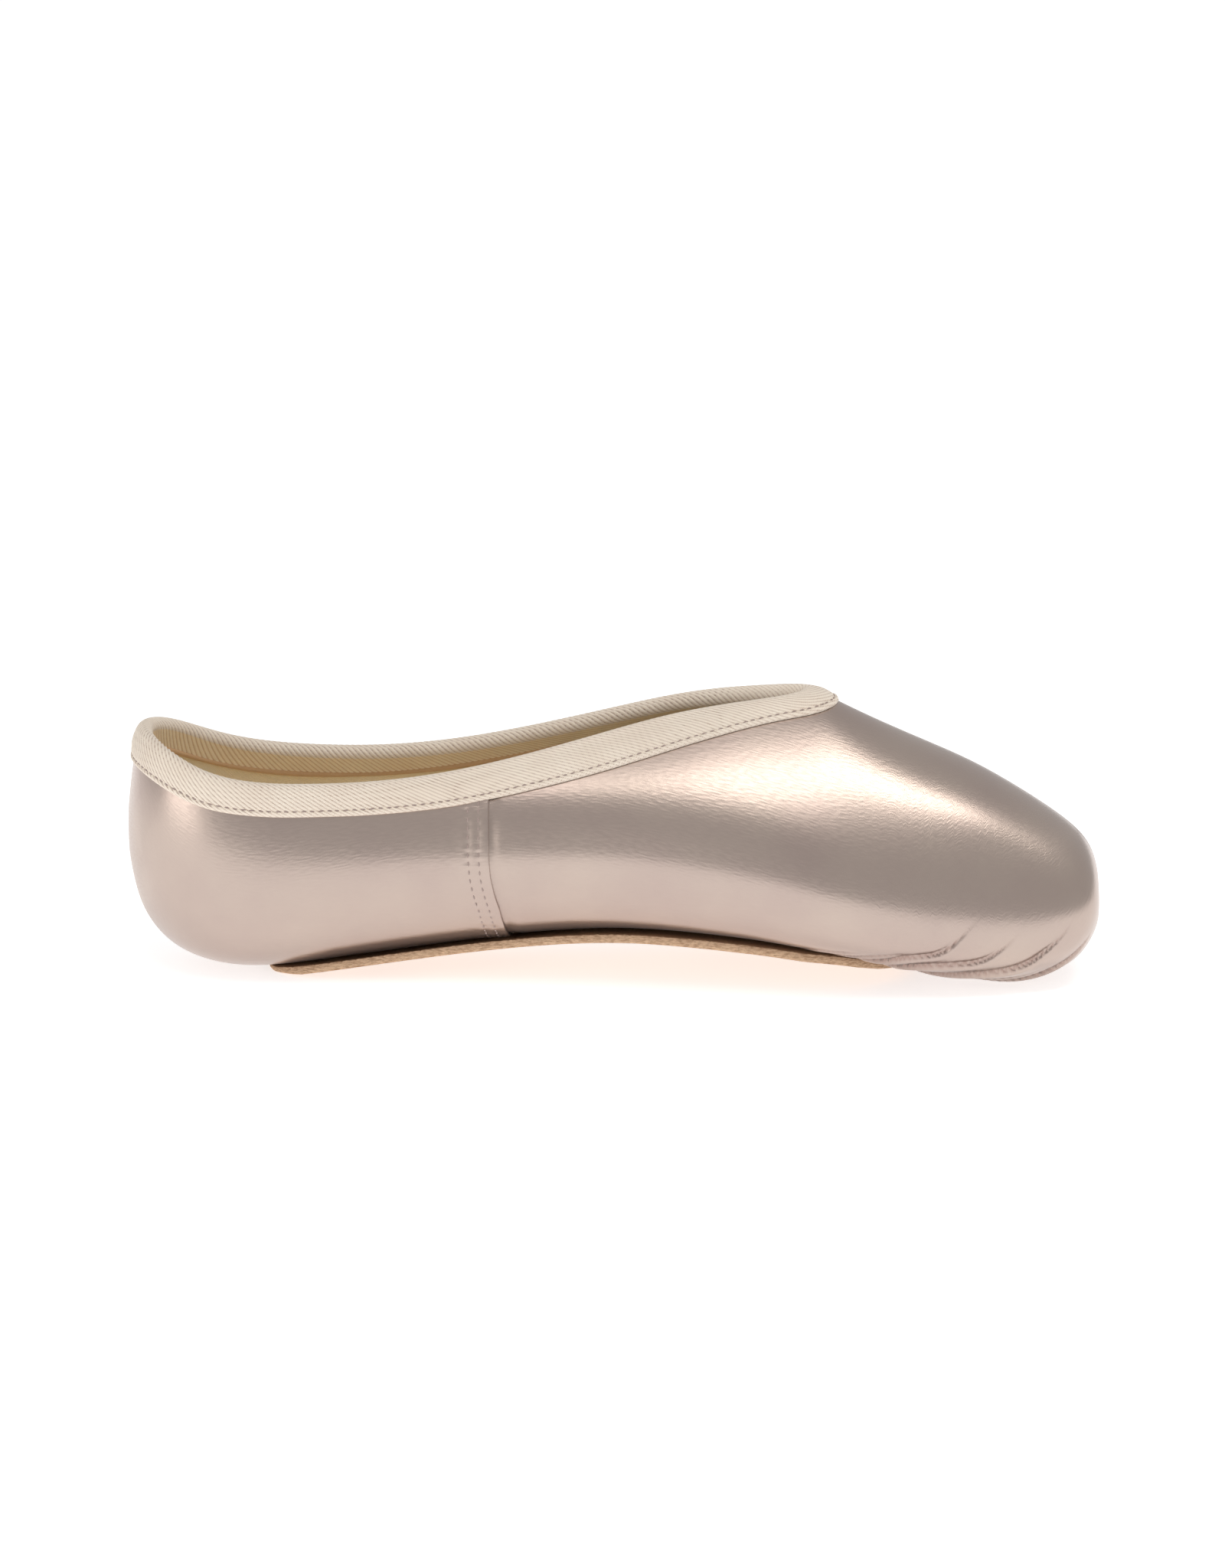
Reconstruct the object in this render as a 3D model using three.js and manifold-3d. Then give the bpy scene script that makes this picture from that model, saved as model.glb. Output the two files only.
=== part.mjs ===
// Pointe shoe: a satin ballet shoe with a stiff blocked toe, a taped collar and a narrow leather outsole.
// Millimetres, +Z up, toe towards +X. The origin lies under the middle of the shoe, on the floor.
// The shoe is built round one smooth form, the last, as a shoemaker does: every piece is cut from that form.
import * as THREE from "three";
import { mergeVertices } from "three/addons/utils/BufferGeometryUtils.js";
import Module from "manifold-3d";

const wasm = await Module();
wasm.setup();

// Driving dimensions.
const LENGTH = 230; // from the back of the heel to the platform
const CLEARANCE = 0.3; // between pieces that meet
const WALL = { quarter: 1.5, box: 3.0 }; // satin, canvas and lining; the box has layers of paste and hessian
const WALL_GROWS = { from: 120, to: 185 }; // where along the shoe the thin wall becomes the stiff box
const BINDING = { thickness: 1.0, roll: 1.6, chamfer: 0.9 }; // roll is the tape's height over the raw edge
const OUTSOLE = { thickness: 2.0, standOff: 0.72, heelEnd: 33, toeEnd: 187 };
const SKIVE = { share: 0.45, run: 16 }; // the outsole's ends are pared down to this share of its thickness
const INSOLE = { thickness: 2.4, heelEnd: 13, toeEnd: 204 };
const WAIST = 100; // a place along the shoe that lies well inside the collar
const PLUG = { past: 3, pull: 0.3, bottom: 38 }; // how the collar's cutter runs past the wall and down inside
const MOUTH = { inset: 5, heelEnd: 37, toeEnd: 179, top: 25 }; // the upper's opening above the outsole
const DRAWSTRING = { radius: 0.8, knotRadius: 1.7, along: 158, height: 60.4 };
const FAR = 400; // longer than anything here, for forms that only cut

// How finely the curved forms are divided.
const ROUND_STEPS = 30; // round the last
const LENGTH_STEPS = 30; // along the last
const LOOP_STEPS = 30; // along one side of the collar
const OUTLINE_STEPS = 24; // along a plan outline
const HEIGHT_STEPS = 40; // along a curve of heights
const OUTSOLE_STEPS = { along: 26, across: 10 };
const TUBE_STEPS = { along: 8, round: 8 };
const HALVINGS = 40; // rounds of halving when a place is searched for

// The last, section by section from the heel. alongSole and alongTop are distances from the back of the heel,
// sole and top are heights, half is the half width, widest is the share of the height where it is widest, and
// soleFull and topFull are 1 for an ellipse, more for a squarer end and less for a pointed one.
const SECTION_COLUMNS = ["alongSole", "sole", "alongTop", "top", "half", "widest", "soleFull", "topFull"];
const SECTION_ROWS = [
  [0.0, 30.5, 0.0, 30.5, 0.0, 0.5, 1.0, 1.0], // back of the heel
  [2.0, 18.0, 0.7, 43.0, 7.4, 0.5, 1.0, 1.0],
  [5.6, 10.2, 3.0, 56.0, 13.8, 0.46, 1.0, 1.05],
  [11.4, 4.9, 7.8, 65.0, 20.0, 0.42, 1.0, 1.12],
  [19.0, 1.9, 15.5, 69.0, 24.4, 0.39, 1.02, 1.18],
  [29.5, 0.8, 27.0, 68.0, 26.8, 0.38, 1.05, 1.15],
  [45.0, 2.2, 45.0, 63.0, 26.9, 0.4, 1.05, 1.06],
  [65.0, 5.0, 65.0, 59.5, 26.4, 0.43, 1.05, 1.0],
  [90.0, 8.6, 90.0, 60.2, 27.0, 0.42, 1.05, 0.94],
  [115.0, 11.0, 115.0, 64.0, 29.4, 0.38, 1.08, 0.84],
  [135.0, 11.0, 135.0, 67.6, 32.6, 0.33, 1.1, 0.74],
  [151.0, 10.0, 151.0, 68.2, 35.0, 0.3, 1.12, 0.68],
  [163.0, 8.6, 163.0, 66.6, 36.6, 0.28, 1.12, 0.7],
  [172.0, 7.2, 172.0, 62.6, 37.0, 0.28, 1.12, 0.82],
  [186.0, 3.9, 186.0, 56.1, 36.0, 0.3, 1.12, 0.96],
  [200.0, 0.9, 200.0, 49.8, 33.2, 0.33, 1.1, 1.04],
  [211.0, -0.3, 211.0, 43.6, 29.8, 0.37, 1.08, 1.08],
  [219.5, 1.1, 219.5, 38.0, 26.4, 0.42, 1.06, 1.1],
  [225.6, 4.6, 225.8, 32.8, 22.6, 0.47, 1.05, 1.1],
  [228.9, 9.4, 229.1, 28.0, 17.8, 0.5, 1.05, 1.08],
  [230.3, 13.6, 230.3, 23.2, 10.6, 0.5, 1.0, 1.0],
  [230.6, 18.4, 230.6, 18.4, 0.0, 0.5, 1.0, 1.0], // middle of the platform
];

// The collar seen from the side: top is the height of the binding's rolled edge, and drop is how far the tape
// reaches down below it.
const COLLAR_COLUMNS = ["along", "top", "drop"];
const COLLAR_ROWS = [
  [-4.0, 61.0, 8.8],
  [3.0, 59.0, 8.8],
  [8.0, 57.0, 8.8],
  [13.0, 54.6, 8.6],
  [20.0, 51.7, 8.2],
  [30.0, 49.5, 7.5],
  [44.0, 48.7, 7.2],
  [60.0, 49.1, 7.1],
  [78.0, 51.2, 7.3],
  [95.0, 54.7, 7.4],
  [115.0, 59.8, 7.4],
  [131.0, 63.7, 6.6],
  [145.0, 65.9, 5.2],
  [156.0, 67.0, 4.2],
  [165.0, 67.8, 3.9],
  [175.0, 68.4, 3.9],
];

// The outsole from below, then the insole from above: half widths along the shoe.
const OUTSOLE_ROWS = [
  [33.0, 0.0],
  [35.0, 8.6],
  [40.0, 13.6],
  [50.0, 16.4],
  [70.0, 16.8],
  [95.0, 17.4],
  [120.0, 19.6],
  [145.0, 23.2],
  [160.0, 23.8],
  [173.0, 20.4],
  [182.0, 13.4],
  [187.0, 0.0],
];
const INSOLE_ROWS = [
  [13.0, 0.0],
  [15.0, 8.0],
  [22.0, 15.0],
  [36.0, 19.0],
  [60.0, 19.2],
  [90.0, 20.0],
  [120.0, 23.6],
  [150.0, 28.0],
  [172.0, 28.4],
  [190.0, 22.6],
  [200.0, 12.6],
  [204.0, 0.0],
];

// One end of the drawstring from the knot: how far ahead, aside and below each place lies.
const DRAWSTRING_END_ROWS = [
  [0.0, 0.0, 0.0],
  [3.6, 1.8, 0.6],
  [9.0, 3.2, 3.4],
];

// Turns round the last are measured from its side.
const ON_TOP = Math.PI / 2;
const UNDERNEATH = -Math.PI / 2;

// A natural cubic spline through rows of numbers, one row at each knot.
function splineThrough(rows, knots) {
  const n = rows.length;
  const width = rows[0].length;
  const bends = rows.map(() => new Array(width).fill(0)); // second derivatives
  const sweep = new Array(n).fill(0);
  for (let i = 1; i < n - 1; i++) {
    const before = knots[i] - knots[i - 1];
    const after = knots[i + 1] - knots[i];
    const pivot = 2 * (before + after) - before * sweep[i - 1];
    sweep[i] = after / pivot;
    for (let c = 0; c < width; c++) {
      const turn = (rows[i + 1][c] - rows[i][c]) / after - (rows[i][c] - rows[i - 1][c]) / before;
      bends[i][c] = (6 * turn - before * bends[i - 1][c]) / pivot;
    }
  }
  for (let i = n - 2; i > 0; i--)
    for (let c = 0; c < width; c++) bends[i][c] -= sweep[i] * bends[i + 1][c];
  return (at) => {
    let i = 0;
    while (i < n - 2 && at > knots[i + 1]) i++;
    const span = knots[i + 1] - knots[i];
    const b = (at - knots[i]) / span;
    const a = 1 - b;
    return rows[i].map(
      (value, c) =>
        a * value +
        b * rows[i + 1][c] +
        (((a ** 3 - a) * bends[i][c] + (b ** 3 - b) * bends[i + 1][c]) * span * span) / 6,
    );
  };
}

const named = (columns, values) => Object.fromEntries(columns.map((name, i) => [name, values[i]]));

// Past each end the section turns inside out, which makes the spline run smoothly over the end of the last.
function turnedRow(row) {
  const [alongSole, sole, alongTop, top, half, ...shape] = row;
  return [alongTop, top, alongSole, sole, -half, ...shape];
}

function lastSpline() {
  const n = SECTION_ROWS.length;
  const rows = [
    turnedRow(SECTION_ROWS[2]),
    turnedRow(SECTION_ROWS[1]),
    ...SECTION_ROWS,
    turnedRow(SECTION_ROWS[n - 2]),
    turnedRow(SECTION_ROWS[n - 3]),
  ];
  const knots = [0];
  for (let i = 1; i < rows.length; i++) {
    const step = Math.hypot(...[0, 1, 2, 3, 4].map((c) => rows[i][c] - rows[i - 1][c]));
    knots.push(knots[i - 1] + Math.sqrt(step));
  }
  const start = knots[2];
  const end = knots[n + 1];
  const spline = splineThrough(rows, knots);
  return (t) => named(SECTION_COLUMNS, spline(start + (end - start) * t));
}

const sectionAt = lastSpline();
const collarSpline = splineThrough(
  COLLAR_ROWS,
  COLLAR_ROWS.map((row) => row[0]),
);
const collarAt = (along) => named(COLLAR_COLUMNS, collarSpline(along));

// A point of the last: t runs from heel to toe, turn from -90 degrees under the sole to 90 degrees on top.
function lastPoint(t, turn) {
  const s = sectionAt(t);
  const up = Math.sin(turn);
  const out = Math.cos(turn);
  const sag = 1 - 2 * s.widest;
  const share = (1 + up - sag * out * out) / 2;
  const even = 1 - (s.topFull + s.soleFull) / 2;
  const odd = (s.soleFull - s.topFull) / 2;
  return new THREE.Vector3(
    s.alongSole + (s.alongTop - s.alongSole) * share,
    s.half * out * (1 - even * up * up - odd * up ** 3),
    s.sole + (s.top - s.sole) * share,
  );
}

// The outward normal, from the surface a small step away in each direction.
const STEP = 1e-3;
function lastNormal(t, turn) {
  const a = THREE.MathUtils.clamp(t, 2 * STEP, 1 - 2 * STEP);
  const b = THREE.MathUtils.clamp(turn, UNDERNEATH + STEP, ON_TOP - STEP);
  const lengthwise = lastPoint(a + STEP, b).sub(lastPoint(a - STEP, b));
  const round = lastPoint(a, b + STEP).sub(lastPoint(a, b - STEP));
  const normal = lengthwise.cross(round).normalize();
  if (t <= 0 || t >= 1) return new THREE.Vector3(Math.sign(t - 0.5), 0, 0);
  if (Math.abs(turn) > ON_TOP - STEP) normal.setY(0).normalize();
  return normal.negate();
}

// Where a rising function crosses zero.
function crossing(f, low, high) {
  let below = low;
  let above = high;
  for (let i = 0; i < HALVINGS; i++) {
    const middle = (below + above) / 2;
    if (f(middle) < 0) below = middle;
    else above = middle;
  }
  return below;
}

// The t at which the middle of the sole lies at a given distance from the heel.
const stationAt = (along) => crossing((t) => sectionAt(t).alongSole - along, 0, 1);

// Places from one end to the other, closer together towards both ends.
const eased = (from, to, share) => from + ((to - from) * (1 - Math.cos(Math.PI * share))) / 2;

const wallAt = (along) =>
  THREE.MathUtils.lerp(
    WALL.quarter,
    WALL.box,
    THREE.MathUtils.smoothstep(along, WALL_GROWS.from, WALL_GROWS.to),
  );

// Closed meshes and the boolean solids made from them.
const MERGE_DISTANCE = 1e-3;
function asSolid(positions, triangles) {
  const geometry = new THREE.BufferGeometry();
  geometry.setAttribute("position", new THREE.BufferAttribute(new Float32Array(positions), 3));
  geometry.setIndex(triangles);
  const merged = mergeVertices(geometry, MERGE_DISTANCE);
  const kept = [];
  const index = merged.index.array;
  for (let i = 0; i < index.length; i += 3) {
    const [a, b, c] = index.slice(i, i + 3);
    if (a !== b && b !== c && a !== c) kept.push(a, b, c);
  }
  const mesh = new wasm.Mesh({
    numProp: 3,
    vertProperties: merged.attributes.position.array,
    triVerts: new Uint32Array(kept),
  });
  return new wasm.Manifold(mesh);
}

// Joins closed rings of points end to end. The rings run so that the skin between them faces outwards.
function solidOfRings(rings) {
  const count = rings[0].length;
  const positions = rings.flat().flatMap((p) => [p.x, p.y, p.z]);
  const triangles = [];
  for (let r = 0; r + 1 < rings.length; r++)
    for (let k = 0; k < count; k++) {
      const a = r * count + k;
      const b = r * count + ((k + 1) % count);
      triangles.push(a, b, a + count, b, b + count, a + count);
    }
  for (let k = 1; k + 1 < count; k++) {
    const last = (rings.length - 1) * count;
    triangles.push(0, k + 1, k);
    triangles.push(last, last + k, last + k + 1);
  }
  return asSolid(positions, triangles);
}

function solidOfGeometry(geometry) {
  const bare = geometry.index ? geometry.toNonIndexed() : geometry.clone();
  const positions = bare.getAttribute("position").array;
  return asSolid(
    positions,
    Array.from({ length: positions.length / 3 }, (_, i) => i),
  );
}

// An outline drawn in side view (x along, y up), made as deep as a cutter needs.
function sideCutter(points) {
  const shape = new THREE.Shape(points.map(([x, z]) => new THREE.Vector2(x, z)));
  const geometry = new THREE.ExtrudeGeometry(shape, { depth: 2 * FAR, bevelEnabled: false, steps: 1 });
  geometry.translate(0, 0, -FAR);
  geometry.rotateX(Math.PI / 2);
  return solidOfGeometry(geometry);
}

// An outline drawn in plan as half widths, between two heights.
function planCutter(halfAt, { heelEnd, toeEnd }, low, high) {
  const side = [];
  for (let i = 0; i <= OUTLINE_STEPS; i++) {
    const along = eased(heelEnd, toeEnd, i / OUTLINE_STEPS);
    side.push([along, Math.max(halfAt(along), 0)]);
  }
  const inner = side.slice(1, -1);
  const outline = [...side, ...inner.reverse().map(([x, y]) => [x, -y])];
  const shape = new THREE.Shape(outline.map(([x, y]) => new THREE.Vector2(x, y)));
  const geometry = new THREE.ExtrudeGeometry(shape, { depth: high - low, bevelEnabled: false, steps: 1 });
  geometry.translate(0, 0, low);
  return solidOfGeometry(geometry);
}

// Half widths are interpolated on their squares, which gives round ends where the outline closes.
function halfWidthOf(rows) {
  return (along) => {
    if (along <= rows[0][0] || along >= rows[rows.length - 1][0]) return 0;
    const i = rows.findIndex((row) => row[0] > along) - 1;
    const share = (along - rows[i][0]) / (rows[i + 1][0] - rows[i][0]);
    return Math.sqrt(THREE.MathUtils.lerp(rows[i][1] ** 2, rows[i + 1][1] ** 2, share));
  };
}

// The last as a closed form, grown or shrunk along its normals.
function lastForm(growth) {
  const rings = [];
  for (let i = 0; i <= LENGTH_STEPS; i++) {
    const t = i / LENGTH_STEPS;
    const half = [];
    for (let k = 0; k <= ROUND_STEPS / 2; k++) {
      const turn = UNDERNEATH + (2 * Math.PI * k) / ROUND_STEPS;
      const p = lastPoint(t, turn);
      half.push(p.addScaledVector(lastNormal(t, turn), growth(p.x)));
    }
    const mirrored = half.slice(1, -1).reverse();
    rings.push([...half, ...mirrored.map((p) => new THREE.Vector3(p.x, -p.y, p.z))]);
  }
  return solidOfRings(rings);
}

// Everything above a curve seen from the side.
function aboveCurve(heightAt) {
  const points = [];
  for (let i = 0; i <= HEIGHT_STEPS; i++) {
    const along = (LENGTH * i) / HEIGHT_STEPS;
    points.push([along, heightAt(along)]);
  }
  return sideCutter([...points, [LENGTH, FAR], [0, FAR]]);
}

const floor = sideCutter([
  [-FAR, -FAR],
  [FAR, -FAR],
  [FAR, 0],
  [-FAR, 0],
]);
const pastPlatform = sideCutter([
  [LENGTH, -FAR],
  [FAR, -FAR],
  [FAR, FAR],
  [LENGTH, FAR],
]);

// Where the last's surface meets a height that changes along the shoe: a loop from the heel round the throat
// and back. Each place has its point, the last's normal, and inward, the way across the surface to the opening.
function collarLoop(heightOf) {
  const gap = (t, turn) => {
    const p = lastPoint(t, turn);
    return p.z - heightOf(collarAt(p.x));
  };
  const waist = stationAt(WAIST);
  const heel = crossing((t) => gap(t, ON_TOP), 0, waist);
  const throat = 1 - crossing((back) => gap(1 - back, ON_TOP), 0, 1 - waist);
  const half = [];
  for (let i = 0; i <= LOOP_STEPS; i++) {
    const t = eased(heel, throat, i / LOOP_STEPS);
    const onMiddle = i === 0 || i === LOOP_STEPS;
    const turn = onMiddle ? ON_TOP : crossing((angle) => gap(t, angle), UNDERNEATH, ON_TOP);
    const point = lastPoint(t, turn);
    if (onMiddle) point.setY(0);
    half.push({ point, normal: lastNormal(t, turn) });
  }
  const mirrored = (v) => new THREE.Vector3(v.x, -v.y, v.z);
  const other = half
    .slice(1, -1)
    .reverse()
    .map(({ point, normal }) => ({ point: mirrored(point), normal: mirrored(normal) }));
  const loop = [...half, ...other];
  return loop.map((place, i) => {
    const next = loop[(i + 1) % loop.length].point;
    const previous = loop[(i + loop.length - 1) % loop.length].point;
    const run = next.clone().sub(previous);
    return { ...place, inward: run.cross(place.normal).normalize() };
  });
}

// The whole opening above a collar loop, cut square to the last's surface. Shift moves its edge inwards.
function collarPlug(heightOf, shift) {
  const edge = (out) =>
    collarLoop(heightOf)
      .map(({ point, normal, inward }) =>
        point.clone().addScaledVector(inward, shift).addScaledVector(normal, out(point.x)),
      )
      .reverse();
  const inside = edge((along) => -wallAt(along) - PLUG.past);
  const outside = edge(() => PLUG.past);
  const deep = inside.map(
    (p) => new THREE.Vector3(THREE.MathUtils.lerp(p.x, WAIST, PLUG.pull), p.y * PLUG.pull, PLUG.bottom),
  );
  const high = outside.map((p) => new THREE.Vector3(p.x, p.y, FAR));
  return solidOfRings([deep, inside, outside, high]);
}
const rim = ({ top }) => top;
const hem = ({ top, drop }) => top - drop;

const outsoleHalf = halfWidthOf(OUTSOLE_ROWS);
const insoleHalf = halfWidthOf(INSOLE_ROWS);

const outer = lastForm(() => 0);
const inner = lastForm((along) => -wallAt(along));

function makeUpper() {
  const mouth = planCutter((along) => outsoleHalf(along) - MOUTH.inset, MOUTH, -FAR, MOUTH.top);
  return outer
    .subtract(inner)
    .subtract(collarPlug(rim, -BINDING.roll))
    .subtract(mouth)
    .subtract(floor)
    .subtract(pastPlatform);
}

// The tape that binds the collar: a shell round the wall, folded over its raw edge, bevelled along the top.
function makeBinding() {
  const reach = BINDING.thickness + CLEARANCE;
  const band = (grow, shift) =>
    lastForm(() => grow)
      .subtract(lastForm((along) => -wallAt(along) - grow))
      .subtract(collarPlug(rim, shift));
  return band(reach - BINDING.chamfer, 0)
    .add(band(reach, -BINDING.chamfer))
    .subtract(band(CLEARANCE, CLEARANCE - BINDING.roll))
    .intersect(collarPlug(hem, 0));
}

// The lower side of the last at a distance from its middle line.
function soleOfLast(t, aside) {
  return lastPoint(t, crossing((turn) => lastPoint(t, turn).y - aside, UNDERNEATH, 0));
}

// A leather strip under the shoe. It is flatter than the last, so its edges stand off the satin.
function makeOutsole() {
  const { thickness, standOff, heelEnd, toeEnd } = OUTSOLE;
  const rings = [];
  for (let i = 0; i <= OUTSOLE_STEPS.along; i++) {
    const along = eased(heelEnd, toeEnd, i / OUTSOLE_STEPS.along);
    const half = outsoleHalf(along);
    const t = stationAt(along);
    const top = [];
    for (let k = 0; k <= OUTSOLE_STEPS.across; k++) {
      const aside = eased(-half, half, k / OUTSOLE_STEPS.across);
      const height = soleOfLast(t, Math.abs(aside) * standOff).z - CLEARANCE;
      top.push(new THREE.Vector3(along, aside, height));
    }
    const fromEnd = Math.min(along - heelEnd, toeEnd - along);
    const thick = thickness * Math.min(1, SKIVE.share + fromEnd / SKIVE.run);
    const bottom = top.map((p) => new THREE.Vector3(p.x, p.y, Math.max(p.z - thick, 0)));
    rings.push([...bottom, ...top.reverse()]);
  }
  return solidOfRings(rings);
}

// The insole lies on the lasting inside the shoe, flat on top from side to side.
function makeInsole() {
  const height = (along) => {
    const s = sectionAt(stationAt(along));
    return s.sole + wallAt(along) + CLEARANCE + INSOLE.thickness;
  };
  return lastForm((along) => -wallAt(along) - CLEARANCE)
    .subtract(aboveCurve(height))
    .intersect(planCutter(insoleHalf, INSOLE, -FAR, FAR));
}

// The knot of the drawstring, with its two ends tucked forward under the throat.
function makeDrawstring() {
  const { radius, knotRadius, along, height } = DRAWSTRING;
  const end = (side) => {
    const places = DRAWSTRING_END_ROWS.map(
      ([ahead, aside, below]) => new THREE.Vector3(along + ahead, side * aside, height - below),
    );
    return tube(new THREE.CatmullRomCurve3(places), radius);
  };
  const knot = new THREE.IcosahedronGeometry(knotRadius, 2).translate(along, 0, height);
  return solidOfGeometry(knot).add(end(1)).add(end(-1));
}

function tube(curve, radius) {
  const frames = curve.computeFrenetFrames(TUBE_STEPS.along, false);
  const rings = [];
  for (let i = 0; i <= TUBE_STEPS.along; i++) {
    const ring = [];
    for (let k = 0; k < TUBE_STEPS.round; k++) {
      const angle = (2 * Math.PI * k) / TUBE_STEPS.round;
      const point = curve.getPoint(i / TUBE_STEPS.along);
      point.addScaledVector(frames.normals[i], radius * Math.cos(angle));
      point.addScaledVector(frames.binormals[i], radius * Math.sin(angle));
      ring.push(point);
    }
    rings.push(ring);
  }
  return solidOfRings(rings);
}

// Shown as one mesh in the part's own frame, whose origin is under the middle of the shoe.
function meshOf(name, solid, material) {
  const { vertProperties, triVerts } = solid.getMesh();
  const geometry = new THREE.BufferGeometry();
  geometry.setAttribute("position", new THREE.BufferAttribute(vertProperties, 3));
  geometry.setIndex(new THREE.BufferAttribute(triVerts, 1));
  geometry.computeVertexNormals();
  const mesh = new THREE.Mesh(geometry, new THREE.MeshStandardMaterial(material));
  mesh.name = name;
  return mesh;
}

const shoe = new THREE.Group();
shoe.add(meshOf("upper", makeUpper(), { color: 0xcdb3a8, roughness: 0.35 }));
shoe.add(meshOf("collar_binding", makeBinding(), { color: 0xe2cdb8, roughness: 0.8 }));
shoe.add(meshOf("outsole", makeOutsole(), { color: 0xc79c76, roughness: 0.85 }));
shoe.add(meshOf("insole", makeInsole(), { color: 0xe6cf9f, roughness: 0.9 }));
shoe.add(meshOf("drawstring", makeDrawstring(), { color: 0xeadcc8, roughness: 0.8 }));
shoe.position.x = -LENGTH / 2;

export default shoe;
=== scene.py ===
# %% [markdown]
# # A pointe shoe in satin
#
# This notebook dresses the bare solids of a pointe shoe: satin on the outside, a ribbed tape round the
# collar, a cotton lining, an insole, a leather outsole and a knotted drawstring. A shoemaker builds a shoe
# round a wooden form called a last, and the same thing is done here: one smooth surface is described once,
# and every piece is cut from it, a little outside or a little inside. That way the pieces fit each other
# without any pushing about.

import bmesh
import bpy
import numpy as np
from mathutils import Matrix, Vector


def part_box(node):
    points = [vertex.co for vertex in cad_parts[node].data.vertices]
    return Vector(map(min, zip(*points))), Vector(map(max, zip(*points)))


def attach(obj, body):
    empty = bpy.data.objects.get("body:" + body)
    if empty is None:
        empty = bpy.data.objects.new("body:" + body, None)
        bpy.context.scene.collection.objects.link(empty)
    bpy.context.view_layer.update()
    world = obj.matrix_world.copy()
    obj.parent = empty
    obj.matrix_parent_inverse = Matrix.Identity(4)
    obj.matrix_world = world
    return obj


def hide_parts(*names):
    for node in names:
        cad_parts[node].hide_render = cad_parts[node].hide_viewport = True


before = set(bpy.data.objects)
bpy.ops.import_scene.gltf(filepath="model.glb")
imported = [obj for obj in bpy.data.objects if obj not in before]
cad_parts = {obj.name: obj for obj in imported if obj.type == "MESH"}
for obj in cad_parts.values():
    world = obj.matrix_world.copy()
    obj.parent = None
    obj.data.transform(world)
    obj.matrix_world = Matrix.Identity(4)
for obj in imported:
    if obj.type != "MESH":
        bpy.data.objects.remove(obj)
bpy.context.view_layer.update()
print("solids:", sorted(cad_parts))

# %% [markdown]
# The tables below give distances in millimetres from the back of the heel, because that is how a last is
# measured. Blender works in metres about the middle of the shoe. The length of the loaded solids sets the
# scale between the two, so the whole shoe follows if the solids change size.

# %% Millimetres along the shoe, metres in Blender
DRAWN_LENGTH = 230.0
heel_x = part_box("upper")[0].x
toe_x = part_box("upper")[1].x
MM = (toe_x - heel_x) / DRAWN_LENGTH


def to_scene(points):
    """Points in millimetres from the back of the heel, as metres in the frame of the solids."""
    return np.asarray(points) * MM + np.array([heel_x, 0.0, 0.0])


print("one drawn millimetre is", MM, "m")

# %% [markdown]
# ## The last
#
# Each row is a section across the foot. It says how far along the shoe its sole and its top lie, how high
# they are, how wide the section is and at which share of its height it is widest. The two last numbers
# square off or pinch the lower and upper halves. Past the first and last rows the section is turned inside
# out: the spline then runs smoothly over the heel and the toe, and both ends close without a point.

# %% The table of sections
SECTION_COLUMNS = ["along_sole", "sole", "along_top", "top", "half", "widest", "sole_full", "top_full"]
SECTIONS = [
    [0.0, 30.5, 0.0, 30.5, 0.0, 0.5, 1.0, 1.0],
    [2.0, 18.0, 0.7, 43.0, 7.4, 0.5, 1.0, 1.0],
    [5.6, 10.2, 3.0, 56.0, 13.8, 0.46, 1.0, 1.05],
    [11.4, 4.9, 7.8, 65.0, 20.0, 0.42, 1.0, 1.12],
    [19.0, 1.9, 15.5, 69.0, 24.4, 0.39, 1.02, 1.18],
    [29.5, 0.8, 27.0, 68.0, 26.8, 0.38, 1.05, 1.15],
    [45.0, 2.2, 45.0, 63.0, 26.9, 0.4, 1.05, 1.06],
    [65.0, 5.0, 65.0, 59.5, 26.4, 0.43, 1.05, 1.0],
    [90.0, 8.6, 90.0, 60.2, 27.0, 0.42, 1.05, 0.94],
    [115.0, 11.0, 115.0, 64.0, 29.4, 0.38, 1.08, 0.84],
    [135.0, 11.0, 135.0, 67.6, 32.6, 0.33, 1.1, 0.74],
    [151.0, 10.0, 151.0, 68.2, 35.0, 0.3, 1.12, 0.68],
    [163.0, 8.6, 163.0, 66.6, 36.6, 0.28, 1.12, 0.7],
    [172.0, 7.2, 172.0, 62.6, 37.0, 0.28, 1.12, 0.82],
    [186.0, 3.9, 186.0, 56.1, 36.0, 0.3, 1.12, 0.96],
    [200.0, 0.9, 200.0, 49.8, 33.2, 0.33, 1.1, 1.04],
    [211.0, -0.3, 211.0, 43.6, 29.8, 0.37, 1.08, 1.08],
    [219.5, 1.1, 219.5, 38.0, 26.4, 0.42, 1.06, 1.1],
    [225.6, 4.6, 225.8, 32.8, 22.6, 0.47, 1.05, 1.1],
    [228.9, 9.4, 229.1, 28.0, 17.8, 0.5, 1.05, 1.08],
    [230.3, 13.6, 230.3, 23.2, 10.6, 0.5, 1.0, 1.0],
    [230.6, 18.4, 230.6, 18.4, 0.0, 0.5, 1.0, 1.0],
]
print(len(SECTIONS), "sections, each with", *SECTION_COLUMNS)


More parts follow.
